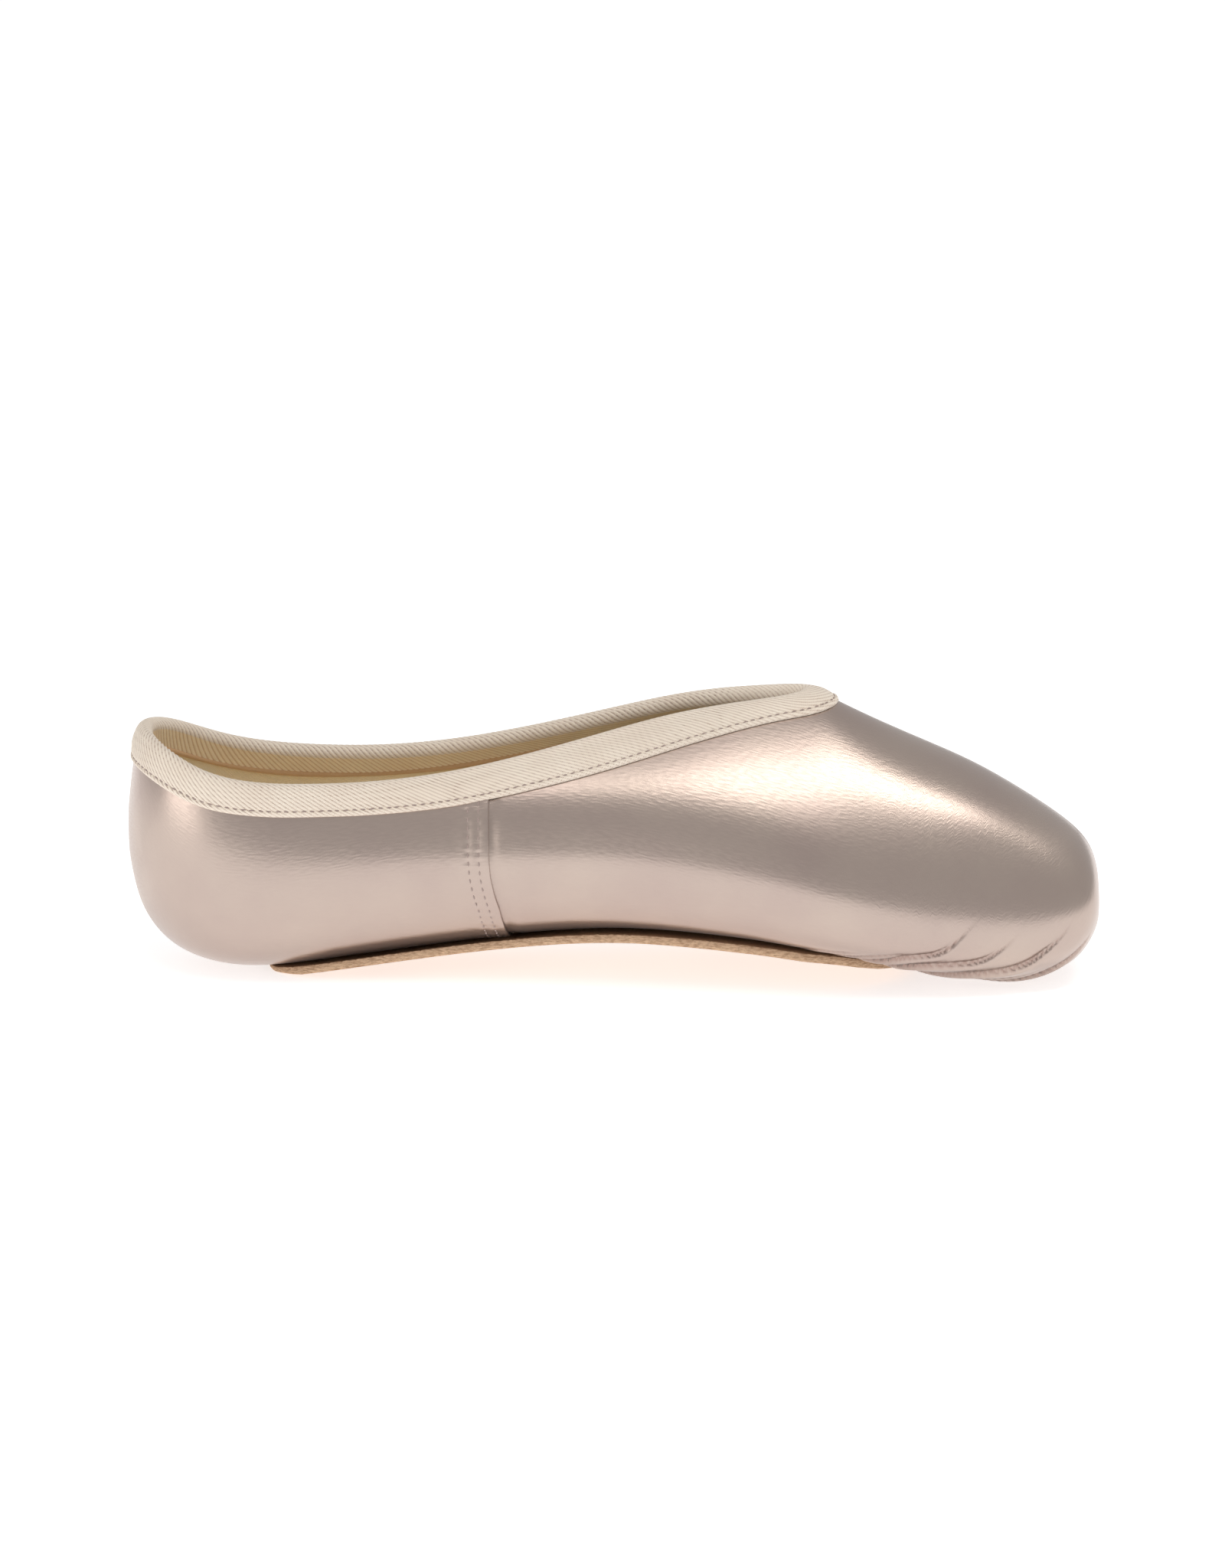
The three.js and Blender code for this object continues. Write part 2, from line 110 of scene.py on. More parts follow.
# %% A smooth curve through rows of numbers
def natural_spline(knots, rows):
    """A function that runs smoothly through the rows, one row at each knot."""
    knots = np.asarray(knots, float)
    rows = np.asarray(rows, float)
    n = len(knots)
    gap = np.diff(knots)
    system = np.eye(n)
    right = np.zeros_like(rows)
    for i in range(1, n - 1):
        system[i, i - 1 : i + 2] = gap[i - 1], 2 * (gap[i - 1] + gap[i]), gap[i]
        right[i] = 6 * ((rows[i + 1] - rows[i]) / gap[i] - (rows[i] - rows[i - 1]) / gap[i - 1])
    bends = np.linalg.solve(system, right)

    def value(at):
        at = np.asarray(at, float)
        i = np.clip(np.searchsorted(knots, at) - 1, 0, n - 2)
        span = gap[i][..., None]
        b = (at - knots[i])[..., None] / span
        a = 1 - b
        bend = ((a**3 - a) * bends[i] + (b**3 - b) * bends[i + 1]) * span**2 / 6
        return a * rows[i] + b * rows[i + 1] + bend

    return value


def last_sections():
    rows = np.array(SECTIONS)
    turned = rows[:, [2, 3, 0, 1, 4, 5, 6, 7]] * np.array([1, 1, 1, 1, -1, 1, 1, 1])
    rows = np.vstack([turned[2], turned[1], rows, turned[-2], turned[-3]])
    steps = np.sqrt(np.linalg.norm(np.diff(rows[:, :5], axis=0), axis=1))
    knots = np.concatenate([[0], np.cumsum(steps)])
    spline = natural_spline(knots, rows)
    first, final = knots[2], knots[-3]
    return lambda t: spline(first + (final - first) * np.asarray(t, float))


section_at = last_sections()
print("widest section:", round(float(section_at(np.linspace(0, 1, 200))[:, 4].max()) * 2, 1), "mm")

# %% [markdown]
# A place on the last has two coordinates. `t` runs from 0 at the heel to 1 at the toe. `turn` is an angle:
# -90 degrees under the sole, 0 at the side, 90 on top, and on to 270 down the other side. The normal comes
# from the surface a tiny step away in each direction, which saves working out derivatives by hand.

# %% Points and normals of the last
HALF_TURN = np.pi / 2
TINY = 1e-3


def last_point(t, turn):
    s = section_at(t)
    up, out = np.sin(turn), np.cos(turn)
    along_sole, sole, along_top, top, half, widest, sole_full, top_full = np.moveaxis(s, -1, 0)
    share = (1 + up - (1 - 2 * widest) * out * out) / 2
    even = 1 - (top_full + sole_full) / 2
    odd = (sole_full - top_full) / 2
    x = along_sole + (along_top - along_sole) * share
    y = half * out * (1 - even * up**2 - odd * up**3)
    return np.stack([x, y, sole + (top - sole) * share], axis=-1)


def unit(vectors):
    return vectors / np.maximum(np.linalg.norm(vectors, axis=-1, keepdims=True), 1e-12)


def last_normal(t, turn):
    t = np.clip(t, 2 * TINY, 1 - 2 * TINY)
    lengthwise = last_point(t + TINY, turn) - last_point(t - TINY, turn)
    around = last_point(t, turn + TINY) - last_point(t, turn - TINY)
    return unit(np.cross(around, lengthwise))


def station(along):
    """t where the middle of the sole is that far from the heel."""
    table = np.linspace(0, 1, 2001)
    return np.interp(along, section_at(table)[:, 0], table)


def smooth(value, low, high):
    """0 below low, 1 above high, and an easy slope between."""
    x = np.clip((np.asarray(value, float) - low) / (high - low), 0, 1)
    return x * x * (3 - 2 * x)


def running_length(line):
    """Distance along a line of points, from 0 at the first to the whole length at the last."""
    return np.concatenate([[0], np.cumsum(np.linalg.norm(np.diff(line, axis=0), axis=1))])


print("normal at the side of the waist:", last_normal(station(90.0), 0.0).round(2))

# %% [markdown]
# The wall is thin cloth in the quarters and thickens towards the toe, where a pointe shoe has its block:
# layers of paste and sacking that dry hard. The collar is cut through the last at a height that changes
# along the shoe. Its table also holds how far the tape reaches down the side.

# %% Wall and collar
WALL_QUARTER = 1.5
WALL_BOX = 3.0
COLLAR_ALONG = [-4, 3, 8, 13, 20, 30, 44, 60, 78, 95, 115, 131, 145, 156, 165, 175]
COLLAR_TOP = [61, 59, 57, 54.6, 51.7, 49.5, 48.7, 49.1, 51.2, 54.7, 59.8, 63.7, 65.9, 67, 67.8, 68.4]
TAPE_DROP = [8.8, 8.8, 8.8, 8.6, 8.2, 7.5, 7.2, 7.1, 7.3, 7.4, 7.4, 6.6, 5.2, 4.2, 3.9, 3.9]
collar_spline = natural_spline(COLLAR_ALONG, np.column_stack([COLLAR_TOP, TAPE_DROP]))


def wall_at(along):
    return WALL_QUARTER + (WALL_BOX - WALL_QUARTER) * smooth(along, 120, 185)


def collar_top(along):
    return collar_spline(along)[..., 0]


def bisect(f, low, high, rounds=40):
    """Where f crosses from below zero to above, for whole arrays at once."""
    low, high = np.array(low, float), np.array(high, float)
    for _ in range(rounds):
        middle = (low + high) / 2
        below = f(middle) < 0
        low = np.where(below, middle, low)
        high = np.where(below, high, middle)
    return (low + high) / 2


def above_collar(t, turn, drop=0.0):
    p = last_point(t, turn)
    return p[..., 2] - (collar_top(p[..., 0]) - drop)


waist_t = float(station(100.0))
heel_t = float(bisect(lambda t: above_collar(t, HALF_TURN), 0.0, waist_t))
throat_t = float(1 - bisect(lambda t: above_collar(1 - t, HALF_TURN), 0.0, 1 - waist_t))
print("the collar closes at", last_point(heel_t, HALF_TURN).round(1))
print("and at the throat at", last_point(throat_t, HALF_TURN).round(1))

# %% [markdown]
# ## From grids to meshes
#
# Every cloth piece here is a grid of points: rows along the shoe, columns round it. Writing the points
# straight into a mesh is much quicker than adding faces one by one. Each piece also gets a UV map that is
# measured in millimetres of cloth, so that a weave has the same size on every piece.

# %% A mesh from a grid of points
CLOTH_MAP = "cloth"
JOINED_WITHIN = 0.002
SHORTEST_EDGE = 0.0005


def cloth_lengths(grid):
    """Distance along the rows and across the columns, in metres, from the middle of the piece."""
    down = np.linalg.norm(np.diff(grid, axis=0), axis=-1).mean(axis=1)
    across = np.linalg.norm(np.diff(grid, axis=1), axis=-1)
    u = np.concatenate([[0], np.cumsum(down)])[:, None] * np.ones(grid.shape[1])
    v = np.concatenate([np.zeros((len(grid), 1)), np.cumsum(across, axis=1)], axis=1)
    return u, v - v[:, [grid.shape[1] // 2]]


def grid_mesh(name, grid, loop_rows=False, loop_columns=False, flip=False, marks=None, uv=None):
    """A smooth-shaded piece from points in metres, shaped rows by columns by 3."""
    rows, columns = grid.shape[:2]
    row_a = np.arange(rows if loop_rows else rows - 1)
    column_a = np.arange(columns if loop_columns else columns - 1)
    a, c = np.meshgrid(row_a, column_a, indexing="ij")
    b, d = (a + 1) % rows, (c + 1) % columns
    corners = np.stack([a * columns + c, b * columns + c, b * columns + d, a * columns + d], axis=-1)
    corners = corners.reshape(-1, 4)[:, ::-1] if flip else corners.reshape(-1, 4)
    mesh = bpy.data.meshes.new(name)
    mesh.from_pydata(grid.reshape(-1, 3), [], corners)
    u, v = uv if uv is not None else cloth_lengths(grid)
    # Where the grid closes on itself, the last strip goes on counting instead of running back to zero.
    u = np.vstack([u, 2 * u[-1] - u[-2]])
    u = np.hstack([u, u[:, :1]])
    v = np.vstack([v, v[:1]])
    v = np.hstack([v, (2 * v[:, -1] - v[:, -2])[:, None]])
    corner_rows = np.stack([a, a + 1, a + 1, a], axis=-1).reshape(-1, 4)
    corner_columns = np.stack([c, c, c + 1, c + 1], axis=-1).reshape(-1, 4)
    if flip:
        corner_rows, corner_columns = corner_rows[:, ::-1], corner_columns[:, ::-1]
    at = np.stack([u[corner_rows, corner_columns], v[corner_rows, corner_columns]], axis=-1) / MM
    mesh.uv_layers.new(name=CLOTH_MAP).data.foreach_set("uv", at.astype(np.float32).ravel())
    for mark, values in (marks or {}).items():
        layer = mesh.attributes.new(mark, "FLOAT", "POINT")
        layer.data.foreach_set("value", np.asarray(values, np.float32).ravel())
    return finish_mesh(name, mesh)


def finish_mesh(name, mesh):
    """Joins points that coincide, shades the mesh smooth and puts it in the scene on the shoe's one body."""
    work = bmesh.new()
    work.from_mesh(mesh)
    bmesh.ops.remove_doubles(work, verts=work.verts, dist=MM * JOINED_WITHIN)
    bmesh.ops.dissolve_degenerate(work, edges=work.edges, dist=MM * SHORTEST_EDGE)
    work.to_mesh(mesh)
    work.free()
    return smooth_piece(name, mesh)


def add_to_scene(name, data):
    """A new object for a mesh, a light or a camera, linked into the scene."""
    made = bpy.data.objects.new(name, data)
    bpy.context.scene.collection.objects.link(made)
    return made


def smooth_piece(name, mesh):
    """A smooth-shaded piece on the shoe's one body."""
    mesh.shade_smooth()
    piece = add_to_scene(name, mesh)
    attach(piece, "root")
    print(f"{name}: {len(mesh.polygons)} faces")
    return piece


# %% [markdown]
# ## Pleats under the toe
#
# A flat piece of satin has to be gathered to go round the block. The spare cloth is laid in pleats that
# start at the front end of the outsole and run forwards and up, like rays. Each one is a soft trough with a
# sharp fold on its front side. They are given as a row of places along the shoe, each with its turn in
# degrees. The pleats of the two sides differ a little in depth, as hand work does.

# %% The pleats' lines
PLEATS = [
    # (depth in mm, [(along, turn in degrees), ...] from the outsole to the end that fades out)
    (0.3, [(160, -51), (165, -42), (170, -35), (175, -29)]),
    (0.4, [(166, -53), (172, -42), (178, -31), (183, -25), (187, -17)]),
    (1.05, [(172, -56), (178, -40), (184, -27), (191.6, -18), (195.6, -8), (200.5, 6)]),
    (0.26, [(174, -58), (181, -42), (187, -31), (193, -24), (198, -17)]),
    (1.1, [(177, -61), (182, -46), (188, -33), (195, -27), (201, -22), (206, -12), (211.5, 2)]),
    (0.3, [(180, -66), (187, -50), (195, -38), (202, -31), (208, -24)]),
    (1.3, [(182, -69), (190, -53), (199.7, -38), (206, -33), (212, -27.5), (217, -18), (221, -8), (223.5, 4)]),
    (0.34, [(184, -74), (194, -60), (205, -48), (213, -41), (219, -34)]),
    (1.05, [(185, -78), (198, -66), (208, -58), (216, -51), (222, -45), (226.5, -34), (228.6, -24)]),
    (0.4, [(186, -84), (200, -77), (212, -71), (221, -64), (227, -52)]),
]
SIDE_SHARE = {-1: [1, 1, 1, 1, 1, 1, 1, 1, 1, 1], 1: [0.8, 1.2, 0.9, 1.3, 1.1, 0.7, 0.85, 1.2, 1.05, 0.8]}
TROUGH_WIDTH = 1.5
FOLD_SHARPNESS = 0.3
FOLD_HEIGHT = 0.8
FOLD_WIDTH = 2.4
FOLD_SHADE_WIDTH = 0.24
FULL_SHADE_DEPTH = 0.55
REACH_OF_PLEAT = 7.0
FULL_REACH_SHARE = 0.35
RISES_BETWEEN = (-0.3, 0.2)  # shares of the pleat's own length
FADES_BETWEEN = (0.62, 1.0)
FADE_PAST_END = 0.8


def pleat_line(places, count=90):
    """Evenly spread points on a curve through the places: t, turn and the millimetre position."""
    places = np.array(places, float)
    steps = np.concatenate([[0], np.cumsum(np.hypot(np.diff(places[:, 0]), np.diff(places[:, 1]) * 0.5))])
    line = natural_spline(steps, places)(np.linspace(0, steps[-1], count))
    t, turn = station(line[:, 0]), np.radians(line[:, 1])
    return t, turn, last_point(t, turn)


def pleat_profile(off):
    """Height of the cloth by the distance off the line: a slow trough behind it and a quick fold in front."""
    behind = -np.exp(np.minimum(off, 0) / TROUGH_WIDTH)
    before = np.maximum(off, 0)
    fold = -np.exp(-before / FOLD_SHARPNESS)
    fold += FOLD_HEIGHT * (1 - np.exp(-before / FOLD_SHARPNESS)) * np.exp(-before / FOLD_WIDTH)
    return np.where(off < 0, behind, fold)


def pleating(points):
    """How far the satin moves out at each point, and a mark from 0 to 1 for the painted shade along the
    bottoms of the folds.
    """
    height = np.zeros(points.shape[:-1])
    fold_painted_shade = np.zeros(points.shape[:-1])
    side_of = np.where(points[..., 1] < 0, -1, 1)
    for side in (-1, 1):
        for share, (depth, places) in zip(SIDE_SHARE[side], PLEATS):
            line_t, line_turn, line = pleat_line(places)
            line = line * np.array([1, side, 1])
            low_down = points[..., 2] < line[:, 2].max() + REACH_OF_PLEAT
            far_forward = points[..., 0] > line[:, 0].min() - REACH_OF_PLEAT
            where = np.nonzero((side_of == side) & low_down & far_forward)
            here = points[where]
            gap = np.linalg.norm(here[:, None] - line[None], axis=-1)
            nearest = gap.argmin(axis=1)
            distance = gap[np.arange(len(here)), nearest]
            heading = unit(np.gradient(line, axis=0))[nearest]
            up = last_normal(line_t, line_turn)[nearest] * np.array([1, side, 1])
            front = np.cross(up, heading) * side
            off = np.sign(((here - line[nearest]) * front).sum(axis=-1)) * distance
            run = nearest / (len(line) - 1)
            strength = share * depth * smooth(run, *RISES_BETWEEN) * (1 - smooth(run, *FADES_BETWEEN))
            strength = strength * (1 - smooth(distance, FULL_REACH_SHARE * REACH_OF_PLEAT, REACH_OF_PLEAT))
            at_end = (nearest == 0) | (nearest == len(line) - 1)
            past_end = np.where(at_end, np.exp(-distance / FADE_PAST_END), 1)
            height[where] += strength * past_end * pleat_profile(off)
            # the second mark is painted shade: it darkens the satin's colour along the bottoms of the folds
            fold_painted_shade[where] += strength * past_end * np.exp(-((off / FOLD_SHADE_WIDTH) ** 2))
    return height, np.clip(fold_painted_shade / FULL_SHADE_DEPTH, 0, 1)


print("pleats on each side:", len(PLEATS))

# %% [markdown]
# ## Satin upper
#
# The upper is cut as three pieces: a vamp over the toe and a quarter on each side of the heel. Each quarter
# laps over the vamp with a folded edge and two rows of stitching, and the quarters meet in a seam at the
# back. The seam leans forward as it runs down under the waist, so it is a short table of turns and
# distances along the shoe.

# %% Side seams and stitch rows
SEAM_TURN = [-90, -69, -42, -27, -15, -5, 7, 28, 60]
SEAM_ALONG = [91.4, 90.9, 89.8, 88.9, 87.7, 86.9, 86.5, 86.4, 86.6]
STITCH_ROWS_BEHIND = [4.6, 2.1]
STITCH_PITCH = 2.1
STITCH_DENT = 0.2
STITCH_DENT_SPREAD = 0.35
RAW_EDGE_BELOW = 1.3
QUARTER_OFF = 0.12
QUARTER_LIFT = 0.42
QUARTER_LIFT_RUN = 8.5


def one_side(turn):
    """The same place's turn on the first side, for a turn on either side."""
    return np.where(turn > HALF_TURN, np.pi - turn, turn)


def seam_along(turn):
    """The quarter's folded edge: how far along the shoe it is at that turn, the same on both sides."""
    return np.interp(np.degrees(one_side(turn)), SEAM_TURN, SEAM_ALONG)


def quarter_lift(behind_fold):
    """How far a quarter stands off the last: most at its folded edge, where it laps over the vamp."""
    return QUARTER_OFF + QUARTER_LIFT * (1 - smooth(behind_fold, 0.0, QUARTER_LIFT_RUN))


def raw_edge_turn(t, below=RAW_EDGE_BELOW):
    """The turn at which the satin ends inside the tape, or the top of the vamp in front of the throat."""
    shape = np.shape(t)
    edge = bisect(lambda turn: above_collar(t, turn, below), np.full(shape, -0.9), np.full(shape, HALF_TURN))
    return np.where(above_collar(t, np.full(shape, HALF_TURN), below) < 0, HALF_TURN, edge)


def around(t, columns):
    """Turns from the near collar edge down, under the sole and up the far side, closer together by the sole.

    Every row has the same turns, and those above the collar stop at its edge. The rows stay parallel that way,
    and the gloss runs over them without a break at the throat."""
    share = np.linspace(-1, 1, columns)
    side = -HALF_TURN + np.pi * np.abs(share) ** 1.12
    side = np.minimum(side, raw_edge_turn(t)[..., None])
    return np.where(share < 0, np.pi - side, side)


def seam_dent(points, turn, behind):
    """The dents that a row of stitches pulls in the satin, that far behind the folded edge."""
    off = points[..., 0] - (seam_along(turn) - behind)
    run = points[..., 2] / STITCH_PITCH
    pulled = 0.6 + 0.4 * np.cos(2 * np.pi * run)
    above_sole = smooth(one_side(turn), -1.35, -1.1)
    return -STITCH_DENT * pulled * np.exp(-(off**2) / STITCH_DENT_SPREAD) * above_sole


print("seam at the side:", round(float(seam_along(0.0)), 1), "mm from the heel")


# %% Vamp
VAMP_ROWS, VAMP_COLUMNS = 400, 233
VAMP_START = 79.0  # the vamp runs in under the quarters
SEAM_HOLLOW_DEPTH = 0.32
SEAM_HOLLOW_AHEAD = 0.9
SEAM_HOLLOW_WIDTH = 1.5
UNDER_QUARTER_DEPTH = 0.2


def make_vamp():
    t = np.linspace(station(VAMP_START), 1, VAMP_ROWS)
    turn = around(t, VAMP_COLUMNS)
    t = t[:, None] * np.ones(VAMP_COLUMNS)
    points, normals = last_point(t, turn), last_normal(t, turn)
    height, fold = pleating(points)
    ahead = points[..., 0] - seam_along(turn)
    hollow = -SEAM_HOLLOW_DEPTH * np.exp(-(((ahead - SEAM_HOLLOW_AHEAD) / SEAM_HOLLOW_WIDTH) ** 2))
    hollow -= UNDER_QUARTER_DEPTH * (1 - smooth(ahead, -2, 0))
    moved = points + normals * (height + hollow)[..., None]
    moved[..., 0] = np.minimum(moved[..., 0], DRAWN_LENGTH + 0.15 * height)
    moved[..., 2] = np.maximum(moved[..., 2], 0.0)
    # the fold mark carries the painted shade for the bottoms of the pleats' folds
    return grid_mesh("vamp_satin", to_scene(moved), flip=True, marks={"fold": fold})


vamp = make_vamp()

# %% [markdown]
# A quarter runs from the back seam to its folded edge. Its grid is bent so that the last columns follow the
# seam line exactly, and its edge is rolled under by a half circle, because folded satin shows a soft round
# edge and never a cut one. The back seam is a shallow groove with the cloth puffed up a little on both
# sides of it.

# %% Quarters
QUARTER_ROWS, QUARTER_COLUMNS = 250, 130
FOLD_RADIUS = 0.32
BACK_SEAM_DEPTH = 0.3
QUARTER_END = 86.0
QUARTER_NAMES = {-1: "quarter_satin_right", 1: "quarter_satin_left"}


def side_turns(t, columns):
    top = raw_edge_turn(t)
    share = np.linspace(0, 1, columns) ** 1.05
    return -HALF_TURN + (top[..., None] + HALF_TURN) * share


def back_seam_groove(points):
    aside = np.abs(points[..., 1])
    behind = 1 - smooth(points[..., 0], 14, 26)
    return behind * BACK_SEAM_DEPTH * (0.5 * np.exp(-((aside - 1.3) ** 2) / 0.9) - np.exp(-(aside**2) / 0.12))


def make_quarter(name, side):
    """One quarter; the side is -1 for the one on the low Y side and 1 for the other."""
    t = np.linspace(0, 1, QUARTER_ROWS) ** 0.9
    turn = side_turns(t * station(QUARTER_END), QUARTER_COLUMNS)
    end = station(seam_along(turn[-1]))
    bent = np.linspace(0, 1, QUARTER_ROWS)[:, None] ** 0.9 * end
    turn = np.stack([side_turns(bent[:, j], QUARTER_COLUMNS)[:, j] for j in range(QUARTER_COLUMNS)], axis=1)
    points, normals = last_point(bent, turn), last_normal(bent, turn)
    behind_fold = seam_along(turn) - points[..., 0]
    lift = quarter_lift(behind_fold)
    for behind in STITCH_ROWS_BEHIND:
        lift += seam_dent(points, turn, behind)
    lift += back_seam_groove(points)
    grid = points + normals * lift[..., None]
    grid = np.vstack([grid, folded_edge(grid[-1], grid[-2], normals[-1])])
    grid[..., 2] = np.maximum(grid[..., 2], 0.05)
    grid[..., 0] = np.maximum(grid[..., 0], 0.0)
    grid *= np.array([1, side, 1])
    return grid_mesh(name, to_scene(grid), flip=side > 0)


def folded_edge(edge, before, normals, steps=6):
    """Rows that roll the edge of a cloth over and back under itself."""
    ahead = unit(edge - before)
    rows = []
    for i in range(1, steps + 1):
        angle = np.pi * i / steps
        rows.append(edge + FOLD_RADIUS * (ahead * np.sin(angle) - normals * (1 - np.cos(angle))))
    rows.append(rows[-1] - ahead * 2.0)
    return np.array(rows)


quarters = {side: make_quarter(name, side) for side, name in QUARTER_NAMES.items()}

# %% [markdown]
# ## Stitches
#
# A machine stitch shows as a short raised dash that dives into the cloth at both ends. One dash is a small
# bent tube; all the dashes of a row are gathered into one piece, which keeps the scene tidy.

# %% A row of stitches along any line
STITCH_LENGTH_SHARE = 0.72
THREAD_RADIUS = 0.17
THREAD_SUNK = 0.05
ROW_SUNK = 0.1


def even_steps(line, pitch):
    """Index of the points on a dense line that lie one pitch apart."""
    run = running_length(line)
    count = int(run[-1] // pitch)
    return np.searchsorted(run, pitch * (np.arange(count) + 0.5)), run


def stitches(line, normals, pitch):
    """Points and faces of the dashes along a dense line that lies on the cloth."""
    middles, run = even_steps(line, pitch)
    rings, sides = 7, 6
    points, faces = [], []
    for middle in middles:
        at = run[middle] + pitch * STITCH_LENGTH_SHARE * (np.linspace(0, 1, rings) - 0.5)
        centre = np.stack([np.interp(at, run, line[:, k]) for k in range(3)], axis=1)
        normal = unit(np.stack([np.interp(at, run, normals[:, k]) for k in range(3)], axis=1))
        arch = np.sin(np.linspace(0, np.pi, rings))
        centre = centre + normal * (THREAD_RADIUS * (1.5 * arch - 0.9) - THREAD_SUNK)[:, None]
        across = unit(np.cross(np.gradient(centre, axis=0), normal))
        angle = 2 * np.pi * np.arange(sides) / sides
        size = THREAD_RADIUS * np.maximum(arch, 0.25) ** 0.4
        ring = centre[:, None] + size[:, None, None] * (
            across[:, None] * np.cos(angle)[:, None] + normal[:, None] * np.sin(angle)[:, None]
        )
        base = len(points) * rings * sides
        points.append(ring.reshape(-1, 3))
        for r in range(rings - 1):
            here = base + r * sides
            above = here + sides
            for k in range(sides):
                n = (k + 1) % sides
                faces.append([here + k, here + n, above + n, above + k])
        faces.append([base + k for k in reversed(range(sides))])
        faces.append([base + (rings - 1) * sides + k for k in range(sides)])
    return np.vstack(points), faces


def stitched_piece(name, rows):
    """One mesh from several rows of stitches, given as (line, normals, pitch) in millimetres."""
    points, faces = [], []
    for line, normals, pitch in rows:
        new_points, new_faces = stitches(line, normals, pitch)
        base = sum(len(p) for p in points)
        points.append(new_points)
        faces += [[base + i for i in face] for face in new_faces]
    mesh = bpy.data.meshes.new(name)
    mesh.from_pydata(to_scene(np.vstack(points)), [], faces)
    return smooth_piece(name, mesh)


def side_seam_rows():
    rows = []
    turn = np.radians(np.linspace(-78, 34, 240))
    for side in (-1, 1):
        for behind in STITCH_ROWS_BEHIND:
            t = station(seam_along(turn) - behind)
            normals = last_normal(t, turn)
            line = last_point(t, turn) + normals * (quarter_lift(behind) - ROW_SUNK)
            flip = np.array([1, side, 1])
            rows.append((line * flip, normals * flip, STITCH_PITCH))
    return rows


side_stitches = stitched_piece("side_seam_stitches", side_seam_rows())

# %% [markdown]
# ## Collar tape
#
# The collar is bound with a twill tape, folded over the raw edge, with the drawstring inside the fold. To
# lay it on the shoe, a line walks down the surface from every point of the rim, always square to the rim,
# and notes where it is after each short step. The tape's cross-section is then placed on those walks: down
# the outside, round the padded rim and down the inside.

# %% The rim as a closed loop
RIM_STEPS = 1240
WALK_STEP = 0.2
WALK_LENGTH = 12.4
WIDTH_SMOOTHED_OVER = 61


def rim_loop(count):
    """t and turn at evenly spread places of the rim, from the heel along the far side and back."""
    share = (1 - np.cos(np.linspace(0, np.pi, 3000))) / 2
    t = heel_t + (throat_t - heel_t) * share
    turn = bisect(lambda a: above_collar(t, a), np.full(t.shape, -0.9), np.full(t.shape, HALF_TURN))
    turn[0] = turn[-1] = HALF_TURN
    t = np.concatenate([t, t[-2:0:-1]])
    turn = np.concatenate([turn, np.pi - turn[-2:0:-1]])
    t, turn = np.append(t, t[0]), np.append(turn, turn[0])
    run = running_length(last_point(t, turn))
    at = np.linspace(0, run[-1], count, endpoint=False)
    return np.interp(at, run, t), np.interp(at, run, turn), at, run[-1]


def walk_down(t, turn):
    """Places reached from the rim by walking down the last: arrays of t and turn, one row a step."""
    places = [(t, turn)]
    loop = last_point(t, turn)
    run = unit(np.roll(loop, -1, axis=0) - np.roll(loop, 1, axis=0))
    heading = unit(np.cross(last_normal(t, turn), run))
    for _ in range(int(WALK_LENGTH / WALK_STEP)):
        by_t = (last_point(t + TINY, turn) - last_point(t - TINY, turn)) / (2 * TINY)
        by_turn = (last_point(t, turn + TINY) - last_point(t, turn - TINY)) / (2 * TINY)
        normal = unit(np.cross(by_turn, by_t))
        heading = unit(heading - normal * (heading * normal).sum(axis=-1, keepdims=True))
        tt, uu, tu = (by_t**2).sum(-1), (by_turn**2).sum(-1), (by_t * by_turn).sum(-1)
        ht, hu = (heading * by_t).sum(-1), (heading * by_turn).sum(-1)
        scale = WALK_STEP / (tt * uu - tu**2)
        t = t + (ht * uu - hu * tu) * scale
        turn = turn + (hu * tt - ht * tu) * scale
        places.append((t, turn))
    return np.array(places)


rim_t, rim_turn, rim_run, rim_length = rim_loop(RIM_STEPS)
rim_wall = wall_at(last_point(rim_t, rim_turn)[:, 0])
walks = walk_down(rim_t, rim_turn)
walk_points = last_point(walks[:, 0], walks[:, 1])
lower_than_hem = walk_points[..., 2] - collar_spline(walk_points[..., 0]) @ np.array([1, -1])
tape_width = (lower_than_hem > 0).sum(axis=0) * WALK_STEP
smoothing = np.hanning(WIDTH_SMOOTHED_OVER)
smoothing = smoothing / smoothing.sum()
tape_width = np.convolve(np.tile(tape_width, 3), smoothing, "same")[RIM_STEPS : 2 * RIM_STEPS]
print("rim", round(rim_length), "mm round")
print("tape", tape_width.min().round(1), "to", tape_width.max().round(1), "mm wide")

# %% Cross-section of the tape
TAPE_OUT = 1.15  # the tape's face stands this far off the wall
RIM_ROUND = 1.9
RIM_COLUMNS = 26
OUTER_COLUMNS = 40
INNER_COLUMNS = 30
INNER_BAND = 7.6
INNER_PAST_HEM = 1.2
HEM_GROOVE_UP = 1.25  # the row of stitches above the tape's lower edge
HEM_GROOVE_DEPTH = 0.32
HEM_GROOVE_WIDTH = 0.3
PUFF_HEIGHT = 0.3
PUFF_TOP = 8.0
LIP_DEPTH = 0.55
inner_reach = np.minimum(tape_width + INNER_PAST_HEM, INNER_BAND)


def on_walk(distance):
    """Points and normals at each station's own distance down the walk."""
    step = np.clip(distance / WALK_STEP, 0, len(walks) - 1.001)
    low = step.astype(int)
    share = step - low
    column = np.arange(walks.shape[2])
    t = walks[low, 0, column] * (1 - share) + walks[low + 1, 0, column] * share
    turn = walks[low, 1, column] * (1 - share) + walks[low + 1, 1, column] * share
    return last_point(t, turn), last_normal(t, turn)


